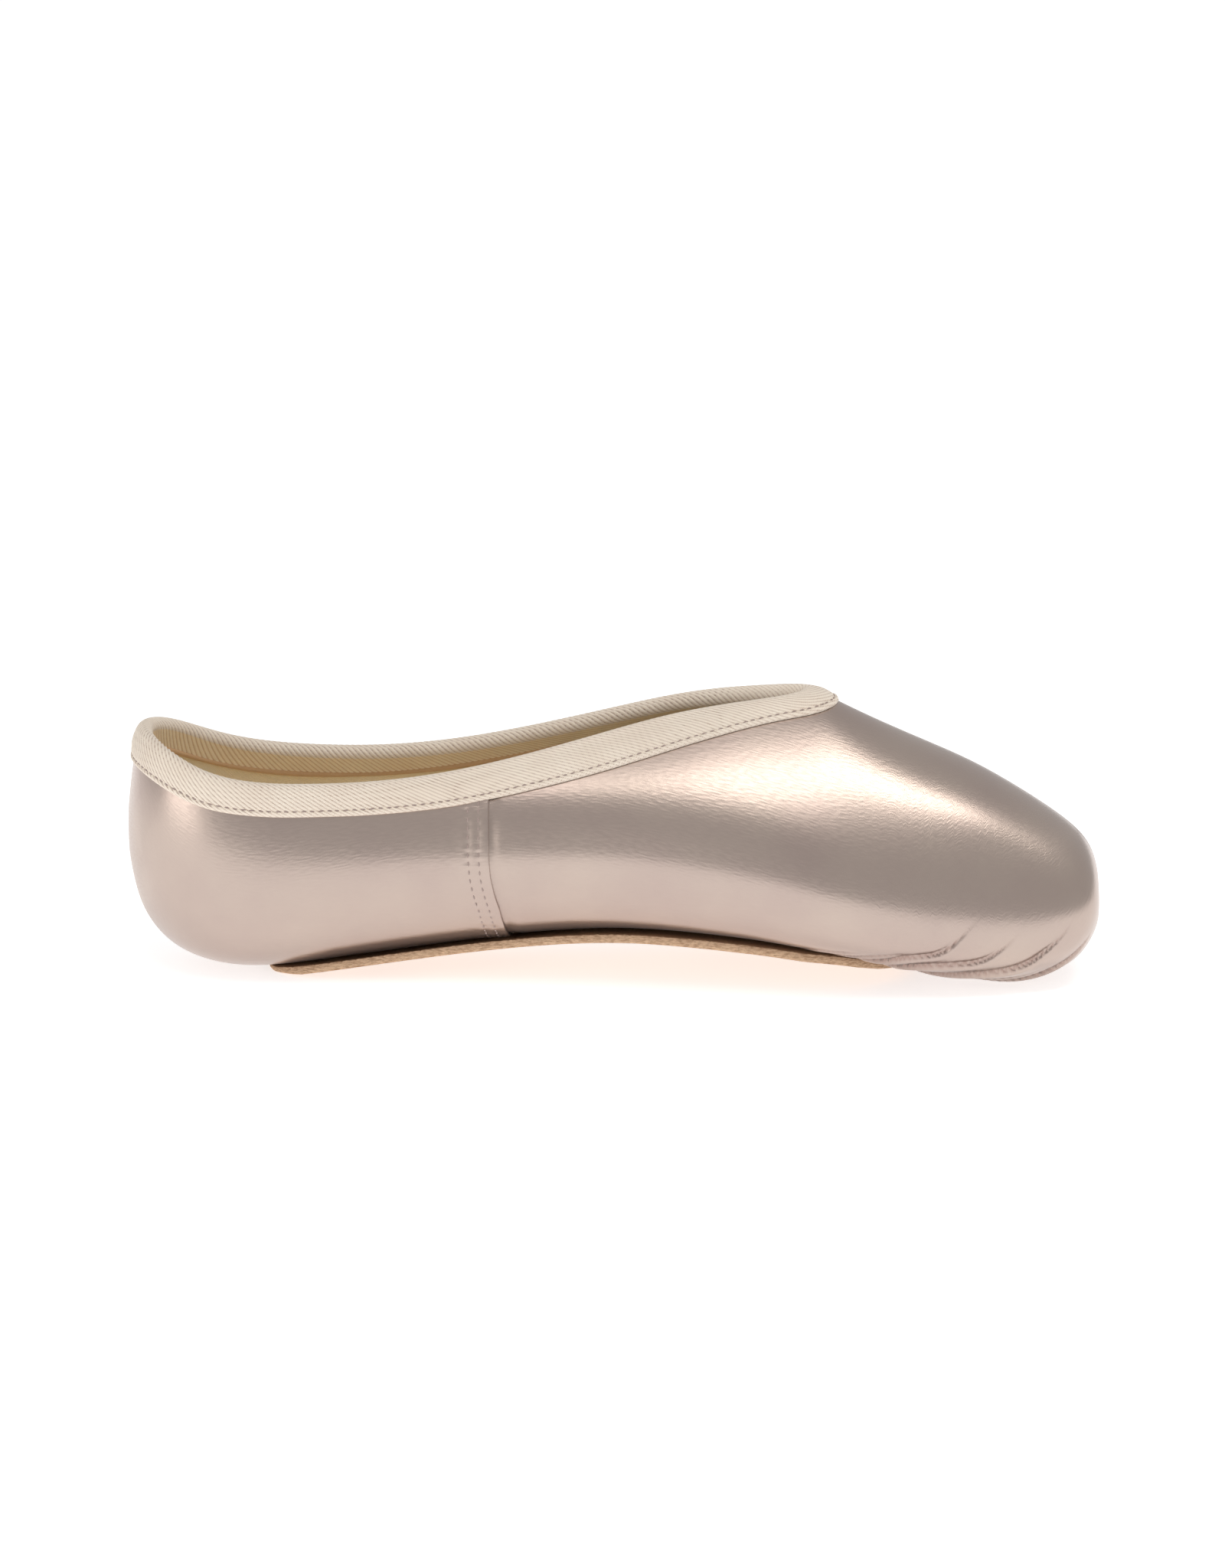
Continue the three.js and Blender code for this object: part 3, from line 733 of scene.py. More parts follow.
def tape_rows():
    """The tape's skin without ribs, column by column: points, and how much of each column is rim."""
    columns, rim_share = [], []
    lowest, lowest_normal = on_walk(tape_width)
    columns.append(lowest + lowest_normal * 0.1)
    rim_share.append(0.0)
    for share in np.linspace(0, 1, OUTER_COLUMNS):
        up = share * (tape_width - RIM_ROUND)
        point, normal = on_walk(tape_width - up)
        groove = -HEM_GROOVE_DEPTH * np.exp(-(((up - HEM_GROOVE_UP) / HEM_GROOVE_WIDTH) ** 2))
        puff = PUFF_HEIGHT * np.sin(np.pi * smooth(up, HEM_GROOVE_UP, PUFF_TOP) ** 0.8)
        lip = -LIP_DEPTH * (1 - smooth(up, -0.1, 0.7))
        columns.append(point + normal * (TAPE_OUT + groove + puff + lip)[:, None])
        rim_share.append(0.0)
    for angle in np.linspace(0, np.pi, RIM_COLUMNS + 1)[1:]:
        point, normal = on_walk(np.full(RIM_STEPS, RIM_ROUND) * (1 - np.sin(angle)))
        out = -rim_wall / 2 + (rim_wall / 2 + TAPE_OUT) * np.cos(angle)
        columns.append(point + normal * out[:, None])
        rim_share.append(np.sin(angle))
    for share in np.linspace(0, 1, INNER_COLUMNS + 1)[1:]:
        point, normal = on_walk(RIM_ROUND + share * (inner_reach - RIM_ROUND))
        columns.append(point - normal * (rim_wall + TAPE_OUT * (1 - 0.45 * share))[:, None])
        rim_share.append(0.0)
    return np.stack(columns, axis=1), np.array(rim_share)


tape_grid, rim_share = tape_rows()
print("tape grid", tape_grid.shape[:2])

# %% [markdown]
# Twill tape is woven in slanting ribs, and here they are real geometry, because their scallops show along
# the rim against the light. The ribs are a wave that counts along the tape and across it at once. They lie
# steeper on the inside, and they are pressed almost flat round the tight turn at the throat.

# %% Ribs of the twill
RIB_ALONG = 1.4
RIB_ACROSS_OUTSIDE = 0.95
RIB_ACROSS_INSIDE = 1.55
RIB_HEIGHT = 0.26
RIM_RIB_HEIGHT = 0.42
RIB_MIDDLE = 0.6  # the wave's share that lies below the plain tape


def grid_normals(grid):
    along = np.roll(grid, -1, axis=0) - np.roll(grid, 1, axis=0)
    return unit(np.cross(np.gradient(grid, axis=1), along))


def ribbed(grid):
    across = np.linalg.norm(np.diff(grid, axis=1), axis=-1)
    middle = 1 + OUTER_COLUMNS + RIM_COLUMNS // 2
    spacing = np.where(np.arange(across.shape[1]) < middle, RIB_ACROSS_OUTSIDE, RIB_ACROSS_INSIDE)
    counted = np.concatenate([np.zeros((len(grid), 1)), np.cumsum(across / spacing, axis=1)], axis=1)
    counted -= counted[:, [middle]]
    ribs_round = round(rim_length / RIB_ALONG)
    phase = (np.arange(len(grid)) / len(grid) * ribs_round)[:, None] - counted
    wave = np.abs(np.cos(np.pi * phase)) ** 0.8 - RIB_MIDDLE
    height = RIB_HEIGHT + (RIM_RIB_HEIGHT - RIB_HEIGHT) * rim_share[None]
    tip = np.minimum(np.abs(rim_run - rim_length / 2), rim_length)
    calm = 0.3 + 0.7 * smooth(tip, 9, 26)
    edge = smooth(np.arange(grid.shape[1]), 1, 4)[None]
    return grid + grid_normals(grid) * (wave * height * calm[:, None] * edge)[..., None], wave


tape, rib_wave = ribbed(tape_grid)
split = 1 + OUTER_COLUMNS + RIM_COLUMNS
tape_u = (rim_run[:, None] * np.ones(tape.shape[1])) * MM
tape_steps = np.linalg.norm(np.diff(tape_grid, axis=1), axis=-1)
tape_v = np.concatenate([np.zeros((RIM_STEPS, 1)), np.cumsum(tape_steps, axis=1)], 1) * MM


def tape_piece(name, first, last):
    part = slice(first, last)
    return grid_mesh(
        name,
        to_scene(tape[:, part]),
        loop_rows=True,
        flip=True,
        marks={"rib": rib_wave[:, part] + RIB_MIDDLE},
        uv=(tape_u[:, part], tape_v[:, part]),
    )


tape_outside = tape_piece("collar_tape_outside", 0, split + 1)
tape_inside = tape_piece("collar_tape_inside", split, tape.shape[1])

# %% [markdown]
# A row of small stitches holds the tape just above its lower edge, and inside the collar the casing ends in
# a rounded ridge. Both are laid along the same walks.

# %% Tubes along a line
def tube_grid(line, radius, sides, closed=False):
    """Rings of points round a line. The radius is one number or one for each point."""
    steps = np.roll(line, -1, axis=0) - np.roll(line, 1, axis=0) if closed else np.gradient(line, axis=0)
    ahead = unit(steps)
    side = np.cross(ahead, np.array([0.0, 0.0, 1.0]))
    side = unit(np.where(np.linalg.norm(side, axis=1, keepdims=True) < 1e-3, np.array([0.0, 1.0, 0.0]), side))
    up = np.cross(side, ahead)
    angle = 2 * np.pi * np.arange(sides) / sides
    size = np.broadcast_to(np.asarray(radius, float), (len(line),))[:, None, None]
    outwards = side[:, None] * np.cos(angle)[:, None] + up[:, None] * np.sin(angle)[:, None]
    return line[:, None] + size * outwards


# %% Hem stitches and the casing's ridge
def hem_stitch_rows():
    point, normal = on_walk(tape_width - HEM_GROOVE_UP)
    line = point + normal * (TAPE_OUT - 0.22)
    return [(np.vstack([line, line[:1]]), np.vstack([normal, normal[:1]]), 2.0)]


hem_stitches = stitched_piece("tape_stitches", hem_stitch_rows())


def make_casing_ridge():
    point, normal = on_walk(inner_reach)
    line = (point - normal * (rim_wall + 0.45)[:, None])[::2]
    wobble = 1 + 0.12 * np.sin(np.arange(len(line)) * 2 * np.pi * 9 / len(line))
    return grid_mesh("casing_ridge", to_scene(tube_grid(line, 0.72 * wobble, 12, closed=True)), True, True)


casing_ridge = make_casing_ridge()

# %% [markdown]
# ## Lining and insole
#
# The lining is the same last again, drawn in by the thickness of the wall. It is a plain cotton drill, a
# little wavy where it is glued. The insole is a cloth-covered board: flat from side to side, with a softly
# rounded edge.

# %% Lining
LINING_ROWS, LINING_COLUMNS = 190, 121
LINING_BELOW = 5.0
LINING_WAVE = 0.18
LINING_LOWEST = 1.2


def make_lining():
    t = np.linspace(0, 1, LINING_ROWS)
    top = raw_edge_turn(t, below=LINING_BELOW)[:, None]
    share = np.linspace(-1, 1, LINING_COLUMNS)
    side = -HALF_TURN + (top + HALF_TURN) * np.abs(share)
    turn = np.where(share < 0, np.pi - side, side)
    t = t[:, None] * np.ones(LINING_COLUMNS)
    points, normals = last_point(t, turn), last_normal(t, turn)
    bend = 1.3 * np.sin(points[..., 0] / 19)
    wave = LINING_WAVE * np.sin(points[..., 0] / 7.3) * np.sin(points[..., 2] / 5.1 + bend)
    inside = points - normals * (wall_at(points[..., 0]) - 0.1 + wave)[..., None]
    inside[..., 2] = np.maximum(inside[..., 2], LINING_LOWEST)
    return grid_mesh("lining", to_scene(inside), flip=False)


lining = make_lining()

# %% Insole
INSOLE_ALONG = [13, 15, 22, 36, 60, 90, 120, 150, 172, 190, 200, 204]
INSOLE_HALF = [0, 8, 15, 19, 19.2, 20, 23.6, 28, 28.4, 22.6, 12.6, 0]
INSOLE_THICK = 2.4
INSOLE_SKIRT = 1.2
CLEARANCE = 0.3


def crowded_at_ends(first, last, count):
    """Places from first to last, closer together towards both ends."""
    return (first + last) / 2 - (last - first) / 2 * np.cos(np.linspace(0, np.pi, count))


def half_width(along, table_along, table_half):
    """Half widths interpolated on their squares, which rounds the outline's ends."""
    return np.sqrt(np.maximum(np.interp(along, table_along, np.square(np.asarray(table_half, float))), 0))


def room_inside(along, height):
    """Half the width of the hollow at that height above the floor, in the lower half of the shoe."""
    t = station(along)[:, None]
    turn = np.linspace(-HALF_TURN, 0, 90)[None] + 0 * t
    t = t + 0 * turn
    inner = last_point(t, turn) - last_normal(t, turn) * (wall_at(along) + CLEARANCE)[:, None, None]
    return np.array([np.interp(z, row[:, 2], row[:, 1]) for z, row in zip(height, inner)])


def make_insole():
    rows, columns = 150, 61
    along = crowded_at_ends(INSOLE_ALONG[0], INSOLE_ALONG[-1], rows)
    sole = section_at(station(along))[:, 1]
    height = sole + wall_at(along) + CLEARANCE + INSOLE_THICK
    half = half_width(along, INSOLE_ALONG, INSOLE_HALF)
    half = np.minimum(half, room_inside(along, height - INSOLE_SKIRT))[:, None]
    height = height[:, None]
    share = np.sin(np.linspace(-HALF_TURN, HALF_TURN, columns))
    rounding = 1.5 * (1 - np.sqrt(np.clip(1 - np.abs(share) ** 10, 0, 1)))
    end = 1.2 * (1 - smooth(np.minimum(along - along[0], along[-1] - along), 0, 1.6))[:, None]
    z = height - rounding - end + 0.12 * np.cos(share * np.pi) + 0 * half
    top = np.stack([along[:, None] + 0 * z, share * half, z], axis=-1)
    skirt = top[:, [0, -1]] - np.array([0, 0, INSOLE_SKIRT])
    grid = np.concatenate([skirt[:, :1], top, skirt[:, 1:]], axis=1)
    return grid_mesh("insole_sock", to_scene(grid), flip=False)


insole_sock = make_insole()

# %% [markdown]
# ## Outsole
#
# The outsole is a narrow strip of tanned leather with pared ends. It is flatter from side to side than the
# shoe, so its edges stand off the satin and leave a dark slit. The cut edge is rough: short fibres and a
# few layers show. The roughness is a sum of sine waves whose lengths do not divide into each other, so
# nothing needs to be random.

# %% Outsole
OUTSOLE_ALONG = [33, 35, 40, 50, 70, 95, 120, 145, 160, 173, 182, 187]
OUTSOLE_HALF = [0, 8.6, 13.6, 16.4, 16.8, 17.4, 19.6, 23.2, 23.8, 20.4, 13.4, 0]
OUTSOLE_THICK = 2.0
PARED_SHARE = 0.45
PARED_RUN = 16.0
STAND_OFF = 0.72
EDGE_RINGS = 9
CHANNEL_IN = 3.2
CHANNEL_DEPTH = 0.4
CHANNEL_WIDTH = 0.45
COARSE_FIBRES = (2.3, 0.83, 5.9, 1.31)
FINE_FIBRES = (0.47, 0.61)
FRAYED = (3.1, 0.9, 1.7, 0.53)


def uneven(run, lengths, seed):
    """A rough wave between about -1 and 1 that never repeats."""
    waves = [np.sin(2 * np.pi * run / length + seed * (i + 1.7)) for i, length in enumerate(lengths)]
    return sum(waves) / len(waves)


def sole_of_last(t, aside):
    """Height of the last's underside at a distance from its middle line."""
    low, high = np.full(aside.shape, -HALF_TURN), np.zeros(aside.shape)
    turn = bisect(lambda a: last_point(t, a)[..., 1] - aside, low, high)
    return last_point(t, turn)[..., 2]


def make_outsole():
    rows, across = 420, 41
    first, last = OUTSOLE_ALONG[0], OUTSOLE_ALONG[-1]
    along = crowded_at_ends(first, last, rows)
    half = half_width(along, OUTSOLE_ALONG, OUTSOLE_HALF)[:, None]
    share = np.sin(np.linspace(-HALF_TURN, HALF_TURN, across))[None]
    aside = half * share
    t = station(along)[:, None] * np.ones(across)
    top = sole_of_last(t, np.abs(aside) * STAND_OFF) - CLEARANCE
    skive = np.minimum(1, PARED_SHARE + np.minimum(along - first, last - along) / PARED_RUN)[:, None]
    bottom = np.maximum(top - OUTSOLE_THICK * skive, 0.0)
    inset = np.abs(np.abs(aside) - (half - CHANNEL_IN))
    channel = CHANNEL_DEPTH * np.exp(-((inset / CHANNEL_WIDTH) ** 2)) * (half > 6) * (bottom > 0.05)
    bottom_grid = np.stack([along[:, None] + 0 * aside, aside, bottom + channel], axis=-1)
    top_grid = np.stack([along[:, None] + 0 * aside, aside, top], axis=-1)
    edges = []
    for side, column in ((1, -1), (-1, 0)):
        low, high = bottom_grid[:, column], top_grid[:, column]
        edge = []
        for k in range(1, EDGE_RINGS):
            up = k / EDGE_RINGS
            rough = 0.16 * uneven(along, COARSE_FIBRES, seed=k)
            rough += 0.1 * uneven(along, FINE_FIBRES, seed=2.3 * k)
            bulge = 0.35 * np.sin(np.pi * up) + rough
            point = low + (high - low) * up
            out = side * bulge * np.minimum(half[:, 0] / 4, 1)
            point = point + np.stack([0 * along, out, 0 * along], axis=-1)
            edge.append(point)
        edges.append(np.stack(edge, axis=1))
    fray = 0.22 * uneven(along, FRAYED, seed=4.2)
    top_grid[:, 0, 2] += fray * 0.8
    top_grid[:, -1, 2] += fray[::-1]
    ring = np.concatenate([bottom_grid, edges[0], top_grid[:, ::-1], edges[1][:, ::-1]], axis=1)
    cut = np.zeros(ring.shape[:2])
    cut[:, across - 1 : across + EDGE_RINGS] = 1
    cut[:, 2 * across + EDGE_RINGS - 2 :] = 1
    cut[:, 0] = 1
    return grid_mesh("outsole_leather", to_scene(ring), loop_columns=True, flip=True, marks={"cut_edge": cut})


outsole = make_outsole()

# %% [markdown]
# ## Drawstring
#
# A thin cotton cord runs inside the tape. Its two ends come out under the throat, where they are knotted
# and tucked forward. The knot is a line that loops three times round, and every cord is a tube with two
# strands twisted into it.

# %% Knot and tucked ends
CORD_RADIUS = 0.75
KNOT_PLACE = np.array([158.0, 0.0, 60.4])
KNOT_SIZE = 1.15
TAIL_LENGTH = 9.0
TWIST_LENGTH = 2.4
STRAND_DEPTH = 0.16


def cord_grid(line, closed=False):
    run = running_length(line)
    sides = 16
    grid = tube_grid(line, CORD_RADIUS, sides, closed)
    twist = 2 * np.pi * run / TWIST_LENGTH
    angle = 2 * np.pi * np.arange(sides) / sides
    strands = 1 - STRAND_DEPTH * np.abs(np.sin(angle[None] - twist[:, None]))
    return line[:, None] + (grid - line[:, None]) * strands[..., None]


def make_drawstring():
    angle = np.linspace(0, 2 * np.pi, 160, endpoint=False)
    ahead = np.sin(angle) + 1.4 * np.sin(2 * angle)
    aside = np.cos(angle) - 1.4 * np.cos(2 * angle)
    knot = np.stack([ahead, aside, -0.8 * np.sin(3 * angle)], 1) * KNOT_SIZE * 0.5 + KNOT_PLACE
    pieces = [grid_mesh("drawstring_knot", to_scene(cord_grid(knot, True)), True, True)]
    for side, name in ((-1, "drawstring_end_right"), (1, "drawstring_end_left")):
        places = [[0, 0, 0], [TAIL_LENGTH * 0.4, 1.8 * side, -0.6], [TAIL_LENGTH, 3.2 * side, -3.4]]
        places = np.array(places, float) + KNOT_PLACE
        line = natural_spline([0, 0.45, 1], places)(np.linspace(0, 1, 60))
        pieces.append(grid_mesh(name, to_scene(cord_grid(line)), loop_columns=True))
    return pieces


drawstring = make_drawstring()

# %% [markdown]
# ## What replaces what
#
# Each solid is hidden once a dressed piece stands for it.

# %% Pieces and the solids they hide
STANDS_FOR = {
    "upper": [vamp, *quarters.values(), lining],
    "collar_binding": [tape_outside, tape_inside, casing_ridge],
    "insole": [insole_sock],
    "outsole": [outsole],
    "drawstring": drawstring,
}
for node, pieces in STANDS_FOR.items():
    for piece in pieces:
        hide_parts(node)

# %% [markdown]
# ## Finishes
#
# Three effects come back in several materials, so each is a node group with its own inputs. *Woven* makes
# the slanting ribs of a weave from the cloth map. *Mottle* makes soft patches for uneven dye and handling.
# *Grain* makes the fine irregular bumps of thread ends and leather.

# %% Building node groups
def new_group(name, inputs, outputs):
    group = bpy.data.node_groups.new(name, "ShaderNodeTree")
    for socket, kind, value in inputs:
        made = group.interface.new_socket(socket, in_out="INPUT", socket_type=kind)
        if value is not None:
            made.default_value = value
    for socket, kind in outputs:
        group.interface.new_socket(socket, in_out="OUTPUT", socket_type=kind)
    return group, group.nodes.new("NodeGroupInput"), group.nodes.new("NodeGroupOutput")


def fill(tree, made, inputs):
    """Puts plain values on a node's inputs and links the sockets among them."""
    for key, value in inputs.items():
        if isinstance(value, bpy.types.NodeSocket):
            tree.links.new(value, made.inputs[key])
        else:
            made.inputs[key].default_value = value
    return made


def node(tree, kind, inputs=None, **settings):
    """A node with its settings; inputs are plain values or sockets to link from."""
    made = tree.nodes.new(kind)
    for key, value in settings.items():
        setattr(made, key, value)
    return fill(tree, made, inputs or {})


def math(tree, operation, a, b=0.0):
    return node(tree, "ShaderNodeMath", {0: a, 1: b}, operation=operation).outputs[0]


def ramp(tree, value, low, high, at_low=0.0, at_high=1.0):
    """A value that runs from low to high, mapped to run from at_low to at_high."""
    return node(tree, "ShaderNodeMapRange", {0: value, 1: low, 2: high, 3: at_low, 4: at_high}).outputs[0]


def blended(tree, share, first, second):
    """Two colours mixed: the first at a share of 0, the second at 1."""
    return node(tree, "ShaderNodeMix", {0: share, 6: first, 7: second}, data_type="RGBA").outputs[2]


def noise(tree, place, scale, detail, roughness=0.5):
    """Soft irregular values about one half."""
    inputs = {"Vector": place, "Scale": scale, "Detail": detail, "Roughness": roughness}
    return node(tree, "ShaderNodeTexNoise", inputs).outputs[0]


def sized_noise(tree, size, detail, roughness=0.5):
    """Noise fixed to the piece, with patches of a size in millimetres."""
    place = node(tree, "ShaderNodeTexCoord").outputs["Object"]
    return noise(tree, place, math(tree, "DIVIDE", 1.0 / MM, size), detail, roughness)


# %% Woven
def make_woven():
    """Ribs from the cloth map: Height for a bump, Rib as a mask from 0 in the grooves to 1 on the ribs."""
    group, given, result = new_group(
        "woven",
        [
            ("Cloth", "NodeSocketVector", None), ("Along", "NodeSocketFloat", 1.0),
            ("Across", "NodeSocketFloat", 1.0), ("Waver", "NodeSocketFloat", 0.2),
        ],
        [("Height", "NodeSocketFloat"), ("Rib", "NodeSocketFloat")],
    )
    part = node(group, "ShaderNodeSeparateXYZ", {0: given.outputs["Cloth"]})
    drift = math(group, "SUBTRACT", noise(group, given.outputs["Cloth"], 0.35, 3.0), 0.5)
    waver = math(group, "MULTIPLY", drift, given.outputs["Waver"])
    count = math(group, "ADD", math(group, "DIVIDE", part.outputs[0], given.outputs["Along"]),
                 math(group, "DIVIDE", part.outputs[1], given.outputs["Across"]))
    count = math(group, "ADD", count, waver)
    wave = math(group, "SINE", math(group, "MULTIPLY", count, 2 * np.pi))
    rib = math(group, "ADD", math(group, "MULTIPLY", wave, 0.5), 0.5)
    crossing = math(group, "SUBTRACT", part.outputs[0], part.outputs[1])
    thread = math(group, "SINE", math(group, "MULTIPLY", crossing, 7.0))
    height = math(group, "ADD", rib, math(group, "MULTIPLY", thread, 0.18))
    group.links.new(height, result.inputs["Height"])
    group.links.new(rib, result.inputs["Rib"])
    return group


woven = make_woven()
print("woven:", [s.name for s in woven.interface.items_tree])


# %% Mottle and grain
def make_mottle():
    """Soft patches: Base with a share of Tint laid over it."""
    group, given, result = new_group(
        "mottle",
        [("Base", "NodeSocketColor", (1, 1, 1, 1)), ("Tint", "NodeSocketColor", (1, 1, 1, 1)),
         ("Size", "NodeSocketFloat", 20.0), ("Amount", "NodeSocketFloat", 0.5)],
        [("Color", "NodeSocketColor")],
    )
    patch = ramp(group, sized_noise(group, given.outputs["Size"], 4.0, 0.55), 0.35, 0.68)
    amount = math(group, "MULTIPLY", patch, given.outputs["Amount"])
    colour = blended(group, amount, given.outputs["Base"], given.outputs["Tint"])
    group.links.new(colour, result.inputs["Color"])
    return group


def make_grain():
    """Fine irregular bumps of a given size in millimetres."""
    group, given, result = new_group(
        "grain",
        [("Size", "NodeSocketFloat", 0.5), ("Detail", "NodeSocketFloat", 5.0)],
        [("Height", "NodeSocketFloat")],
    )
    height = sized_noise(group, given.outputs["Size"], given.outputs["Detail"])
    group.links.new(height, result.inputs["Height"])
    return group


mottle, grain = make_mottle(), make_grain()
print("groups:", [g.name for g in (woven, mottle, grain)])


# %% A fresh material
def new_material(name, values):
    """A material whose shader's own sockets hold the values that are the same all over."""
    material = bpy.data.materials.new(name)
    material.use_nodes = True
    tree = material.node_tree
    tree.nodes.clear()
    shader = node(tree, "ShaderNodeBsdfPrincipled", values)
    output = node(tree, "ShaderNodeOutputMaterial")
    tree.links.new(shader.outputs[0], output.inputs[0])
    return material, tree, shader


def use_group(tree, group, **inputs):
    made = node(tree, "ShaderNodeGroup", node_tree=group)
    return fill(tree, made, {key.capitalize(): value for key, value in inputs.items()})


def cloth_map(tree):
    return node(tree, "ShaderNodeUVMap", uv_map=CLOTH_MAP).outputs[0]


def bump(tree, height, distance_mm, strength=1.0, under=None):
    inputs = {"Height": height, "Distance": distance_mm * MM, "Strength": strength}
    if under is not None:
        inputs["Normal"] = under
    return node(tree, "ShaderNodeBump", inputs).outputs[0]


def wear(material, *pieces):
    for piece in pieces:
        piece.data.materials.clear()
        piece.data.materials.append(material)


# %% [markdown]
# ### Satin
#
# In satin most threads float on the face in one direction, which is why it shines in long streaks across
# them. The shader's anisotropy stretches the highlight along the shoe. Slanting threads too fine for
# geometry break its edge up, and a pink tint and some mottling keep the dye from looking flat. The bottoms
# of the folds get painted shade: their colour is darkened, on top of the real troughs of the pleats.

# %% Satin
SATIN = (0.52, 0.425, 0.372, 1)
SATIN_TINT = (0.45, 0.352, 0.322, 1)
# the colour of the painted shade along the bottoms of the pleats' folds
FOLD_PAINTED_SHADE = (0.30, 0.185, 0.155, 1)
FOLD_SHADE_SHARE = 0.7
THREAD_SLANT = np.radians(38.0)
THREADS_PER_MM = (0.5, 2.0, 1.0)


def make_satin():
    material, tree, shader = new_material(
        "satin",
        values={
            "Metallic": 0.85, "Roughness": 0.31, "Specular IOR Level": 0.6,
            "Anisotropic": 0.5, "Anisotropic Rotation": 0.25,
            "Sheen Weight": 0.1, "Sheen Roughness": 0.4, "Sheen Tint": (1.0, 0.93, 0.88, 1),
        },
    )
    slanted = {"Vector": cloth_map(tree), "Rotation": (0, 0, THREAD_SLANT), "Scale": THREADS_PER_MM}
    threads = noise(tree, node(tree, "ShaderNodeMapping", slanted).outputs[0], 1.0, 0.0)
    colour = use_group(tree, mottle, base=SATIN, tint=SATIN_TINT, size=26.0, amount=0.55)
    fold = node(tree, "ShaderNodeAttribute", attribute_name="fold").outputs["Fac"]
    # painted shade: the satin's colour is darkened along the bottoms of the folds
    shaded = blended(tree, math(tree, "MULTIPLY", fold, FOLD_SHADE_SHARE), colour.outputs["Color"], FOLD_PAINTED_SHADE)
    tree.links.new(shaded, shader.inputs["Base Color"])
    fine = use_group(tree, grain, size=1.3, detail=0.0)
    soft = bump(tree, fine.outputs["Height"], 0.012)
    tree.links.new(bump(tree, threads, 0.02, under=soft), shader.inputs["Normal"])
    rough = ramp(tree, threads, 0.3, 0.7, 0.34, 0.28)
    tree.links.new(rough, shader.inputs["Roughness"])
    tangent = node(tree, "ShaderNodeTangent", direction_type="RADIAL", axis="X")
    tree.links.new(tangent.outputs[0], shader.inputs["Tangent"])
    return material


satin = make_satin()
wear(satin, vamp, *quarters.values())
print("satin on", 1 + len(quarters), "pieces")

# %% [markdown]
# ### Tape, thread, cord and cotton
#
# These are matt cottons. Their shine is only a soft sheen, and their ribs and threads come from the same
# *woven* group at other sizes. The tape's grooves get painted shade: the rib mark that was written while its
# ribs were made darkens the colour between the real ribs.

# %% Cottons
GROOVE_SHADE_SHARE = 0.9
COTTONS = {
    # base and tint, ribs in mm along and across, depth of the weave in mm, roughness, painted shade colour in
    # the grooves
    "tape_twill": (
        (0.95, 0.85, 0.73, 1), (0.90, 0.78, 0.66, 1), 0.35, 0.6, 0.05, 0.6, (0.45, 0.31, 0.24, 1),
    ),
    "tape_inside": (
        (0.98, 0.84, 0.62, 1), (0.95, 0.77, 0.54, 1), 0.35, 0.6, 0.05, 0.85, (0.62, 0.38, 0.20, 1),
    ),
    "cotton_drill": ((0.98, 0.87, 0.66, 1), (0.95, 0.80, 0.56, 1), 0.9, 0.7, 0.07, 0.9),
    "seam_thread": ((0.42, 0.33, 0.30, 1), (0.36, 0.27, 0.25, 1), 0.4, 0.4, 0.02, 0.6),
    "cotton_cord": ((0.86, 0.78, 0.64, 1), (0.78, 0.68, 0.52, 1), 0.4, 0.4, 0.05, 0.9),
}
MADE_OF = {
    "tape_twill": [tape_outside],
    "tape_inside": [tape_inside, casing_ridge],
    "cotton_drill": [lining, insole_sock],
    "seam_thread": [side_stitches, hem_stitches],
    "cotton_cord": drawstring,
}


def make_cotton(name, base, tint, along, across, depth, roughness, groove=None):
    material, tree, shader = new_material(
        name,
        values={
            "Roughness": roughness, "Specular IOR Level": 0.2,
            "Sheen Weight": 0.15, "Sheen Roughness": 0.5,
        },
    )
    weave = use_group(tree, woven, cloth=cloth_map(tree), along=along, across=across, waver=0.5)
    colour = use_group(tree, mottle, base=base, tint=tint, size=9.0, amount=0.7)
    paint = colour.outputs["Color"]
    if groove is not None:
        # painted shade: the colour goes towards the dark groove colour where the rib mark is low, between the
        # ribs
        rib = node(tree, "ShaderNodeAttribute", attribute_name="rib").outputs["Fac"]
        paint = blended(tree, ramp(tree, rib, 0.1, 0.7, GROOVE_SHADE_SHARE, 0.0), paint, groove)
    tree.links.new(paint, shader.inputs["Base Color"])
    fine = bump(tree, use_group(tree, grain, size=0.5, detail=6.0).outputs["Height"], 0.12)
    tree.links.new(bump(tree, weave.outputs["Height"], depth, under=fine), shader.inputs["Normal"])
    return material


cottons = {name: make_cotton(name, *values) for name, values in COTTONS.items()}
for name, pieces in MADE_OF.items():
    wear(cottons[name], *pieces)
print("cottons:", list(cottons))

# %% [markdown]
# ### Leather
#
# The outsole is undyed leather. Its flat face is smooth with fine grain, and its cut edge is lighter,
# fibrous and layered. A mark made with the mesh says where the cut edge is, and stretched noise draws the
# fibres along it.

# %% Leather
LEATHER = (0.53, 0.335, 0.20, 1)
LEATHER_TINT = (0.44, 0.26, 0.15, 1)
CUT_EDGE = (0.80, 0.56, 0.37, 1)
CUT_EDGE_DARK = (0.50, 0.31, 0.19, 1)
FIBRES_PER_METRE = (700, 700, 2600)


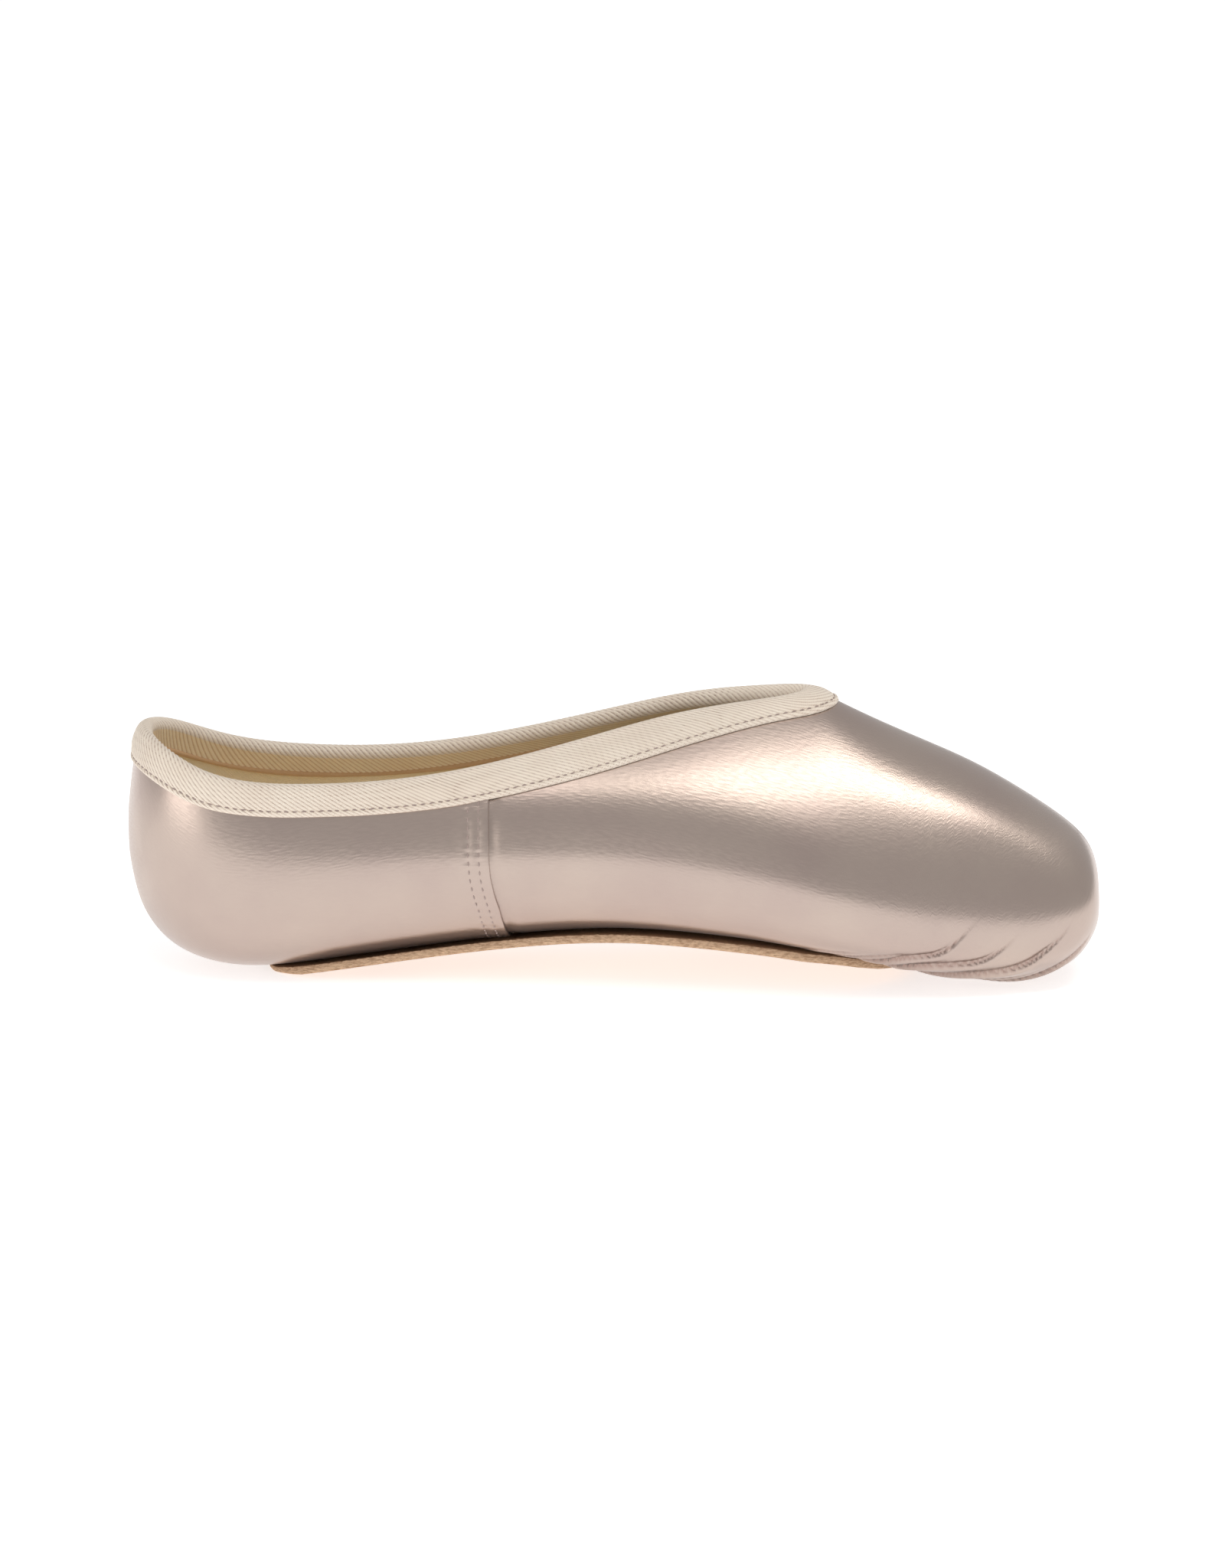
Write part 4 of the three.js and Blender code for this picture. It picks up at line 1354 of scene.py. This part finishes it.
def make_leather():
    values = {"Roughness": 0.7, "Specular IOR Level": 0.3}
    material, tree, shader = new_material("outsole_leather", values)
    colour = use_group(tree, mottle, base=LEATHER, tint=LEATHER_TINT, size=12.0, amount=0.8)
    place = node(tree, "ShaderNodeTexCoord").outputs["Object"]
    stretched = node(tree, "ShaderNodeMapping", {"Vector": place, "Scale": FIBRES_PER_METRE}).outputs[0]
    layers = noise(tree, stretched, 1.0, 5.0, 0.65)
    edge = blended(tree, ramp(tree, layers, 0.38, 0.6), CUT_EDGE_DARK, CUT_EDGE)
    cut = node(tree, "ShaderNodeAttribute", attribute_name="cut_edge").outputs["Fac"]
    tree.links.new(blended(tree, cut, colour.outputs["Color"], edge), shader.inputs["Base Color"])
    fine = bump(tree, use_group(tree, grain, size=0.7, detail=8.0).outputs["Height"], 0.15)
    tree.links.new(bump(tree, math(tree, "MULTIPLY", layers, cut), 0.5, under=fine), shader.inputs["Normal"])
    return material


leather = make_leather()
wear(leather, outsole)
print("leather on", outsole.name)

# %% [markdown]
# ## Studio
#
# The shoe stands on a wide pale table top against a white background. A long soft light hangs above, a
# little to the front: satin turned halfway up mirrors it, and that is the long bright streak on the vamp.
# The pale table lights the sides from below, and the dim room leaves the dark bands between. The background
# is white only where it is looked at directly. For reflections it stays as dim as the room, or it would
# wash out the top of the vamp. A weaker light stands low on the heel's side, to the front.

# %% Table top
TABLE_HALF = 4.0
TABLE_TOP = {
    "Base Color": (0.86, 0.86, 0.87, 1), "Roughness": 0.9, "Specular IOR Level": 0.1,
    "Emission Color": (1, 1, 1, 1), "Emission Strength": 0.6,
}


def make_table_top():
    corners = [(x * TABLE_HALF, y * TABLE_HALF, 0) for x, y in ((-1, -1), (1, -1), (1, 1), (-1, 1))]
    mesh = bpy.data.meshes.new("table_top")
    mesh.from_pydata(corners, [], [(0, 1, 2, 3)])
    table = add_to_scene("table_top", mesh)
    wear(new_material("table_top", values=TABLE_TOP)[0], table)
    return table


print(make_table_top().name, "ready")


# %% Lights
ROOM_LIGHT = 0.5
LIGHTS_AIM = (0, 0, 0.03)
SOFT_LIGHTS = {
    # place and size in metres, power in watts, colour
    "streak": ((0.3, -0.34, 1.26), (1.5, 0.24), 6.5, (1.0, 0.97, 0.92)),
    "fill_left": ((-1.2, -0.9, 0.3), (0.8, 0.5), 3, (1.0, 0.97, 0.93)),
}


def soft_light(name, place, size, power, colour):
    data = bpy.data.lights.new(name, "AREA")
    data.shape = "RECTANGLE"
    data.size, data.size_y = size
    data.energy = power
    data.color = colour
    lamp = add_to_scene(name, data)
    lamp.location = place
    lamp.rotation_euler = (Vector(LIGHTS_AIM) - Vector(place)).to_track_quat("-Z", "Y").to_euler()


def make_room():
    world = bpy.data.worlds.new("studio")
    bpy.context.scene.world = world
    world.use_nodes = True
    tree = world.node_tree
    looked_at = node(tree, "ShaderNodeLightPath").outputs["Is Camera Ray"]
    strength = ramp(tree, looked_at, 0.0, 1.0, ROOM_LIGHT, 1.0)
    tree.links.new(strength, tree.nodes["Background"].inputs[1])
    tree.nodes["Background"].inputs[0].default_value = (1, 1, 1, 1)


for name, values in SOFT_LIGHTS.items():
    soft_light(name, *values)
make_room()
bpy.context.scene.view_settings.view_transform = "Standard"

# %% [markdown]
# The camera looks at the side of the shoe from a little above, through a long lens, so that the shoe hardly
# tapers towards the far side.

# %% Camera
CAMERA_TURN = np.radians(1.5)
CAMERA_RISE = np.radians(13.0)
CAMERA_DISTANCE = 1.4
LENS = 135.5
AIM = Vector((0.0, 0.0, 0.0442))


def make_camera():
    data = bpy.data.cameras.new("camera")
    data.lens = LENS
    data.sensor_width = 36.0
    camera = add_to_scene("camera", data)
    level = np.cos(CAMERA_RISE)
    back = Vector((np.sin(CAMERA_TURN) * level, -np.cos(CAMERA_TURN) * level, np.sin(CAMERA_RISE)))
    camera.location = AIM + back * CAMERA_DISTANCE
    camera.rotation_euler = (-back).to_track_quat("-Z", "Y").to_euler()
    bpy.context.scene.camera = camera
    return camera


camera = make_camera()
print("camera at", [round(v, 3) for v in camera.location])

# %% [markdown]
# ## End
#
# The last cell prints that the script has reached its end.


print("end of the script")
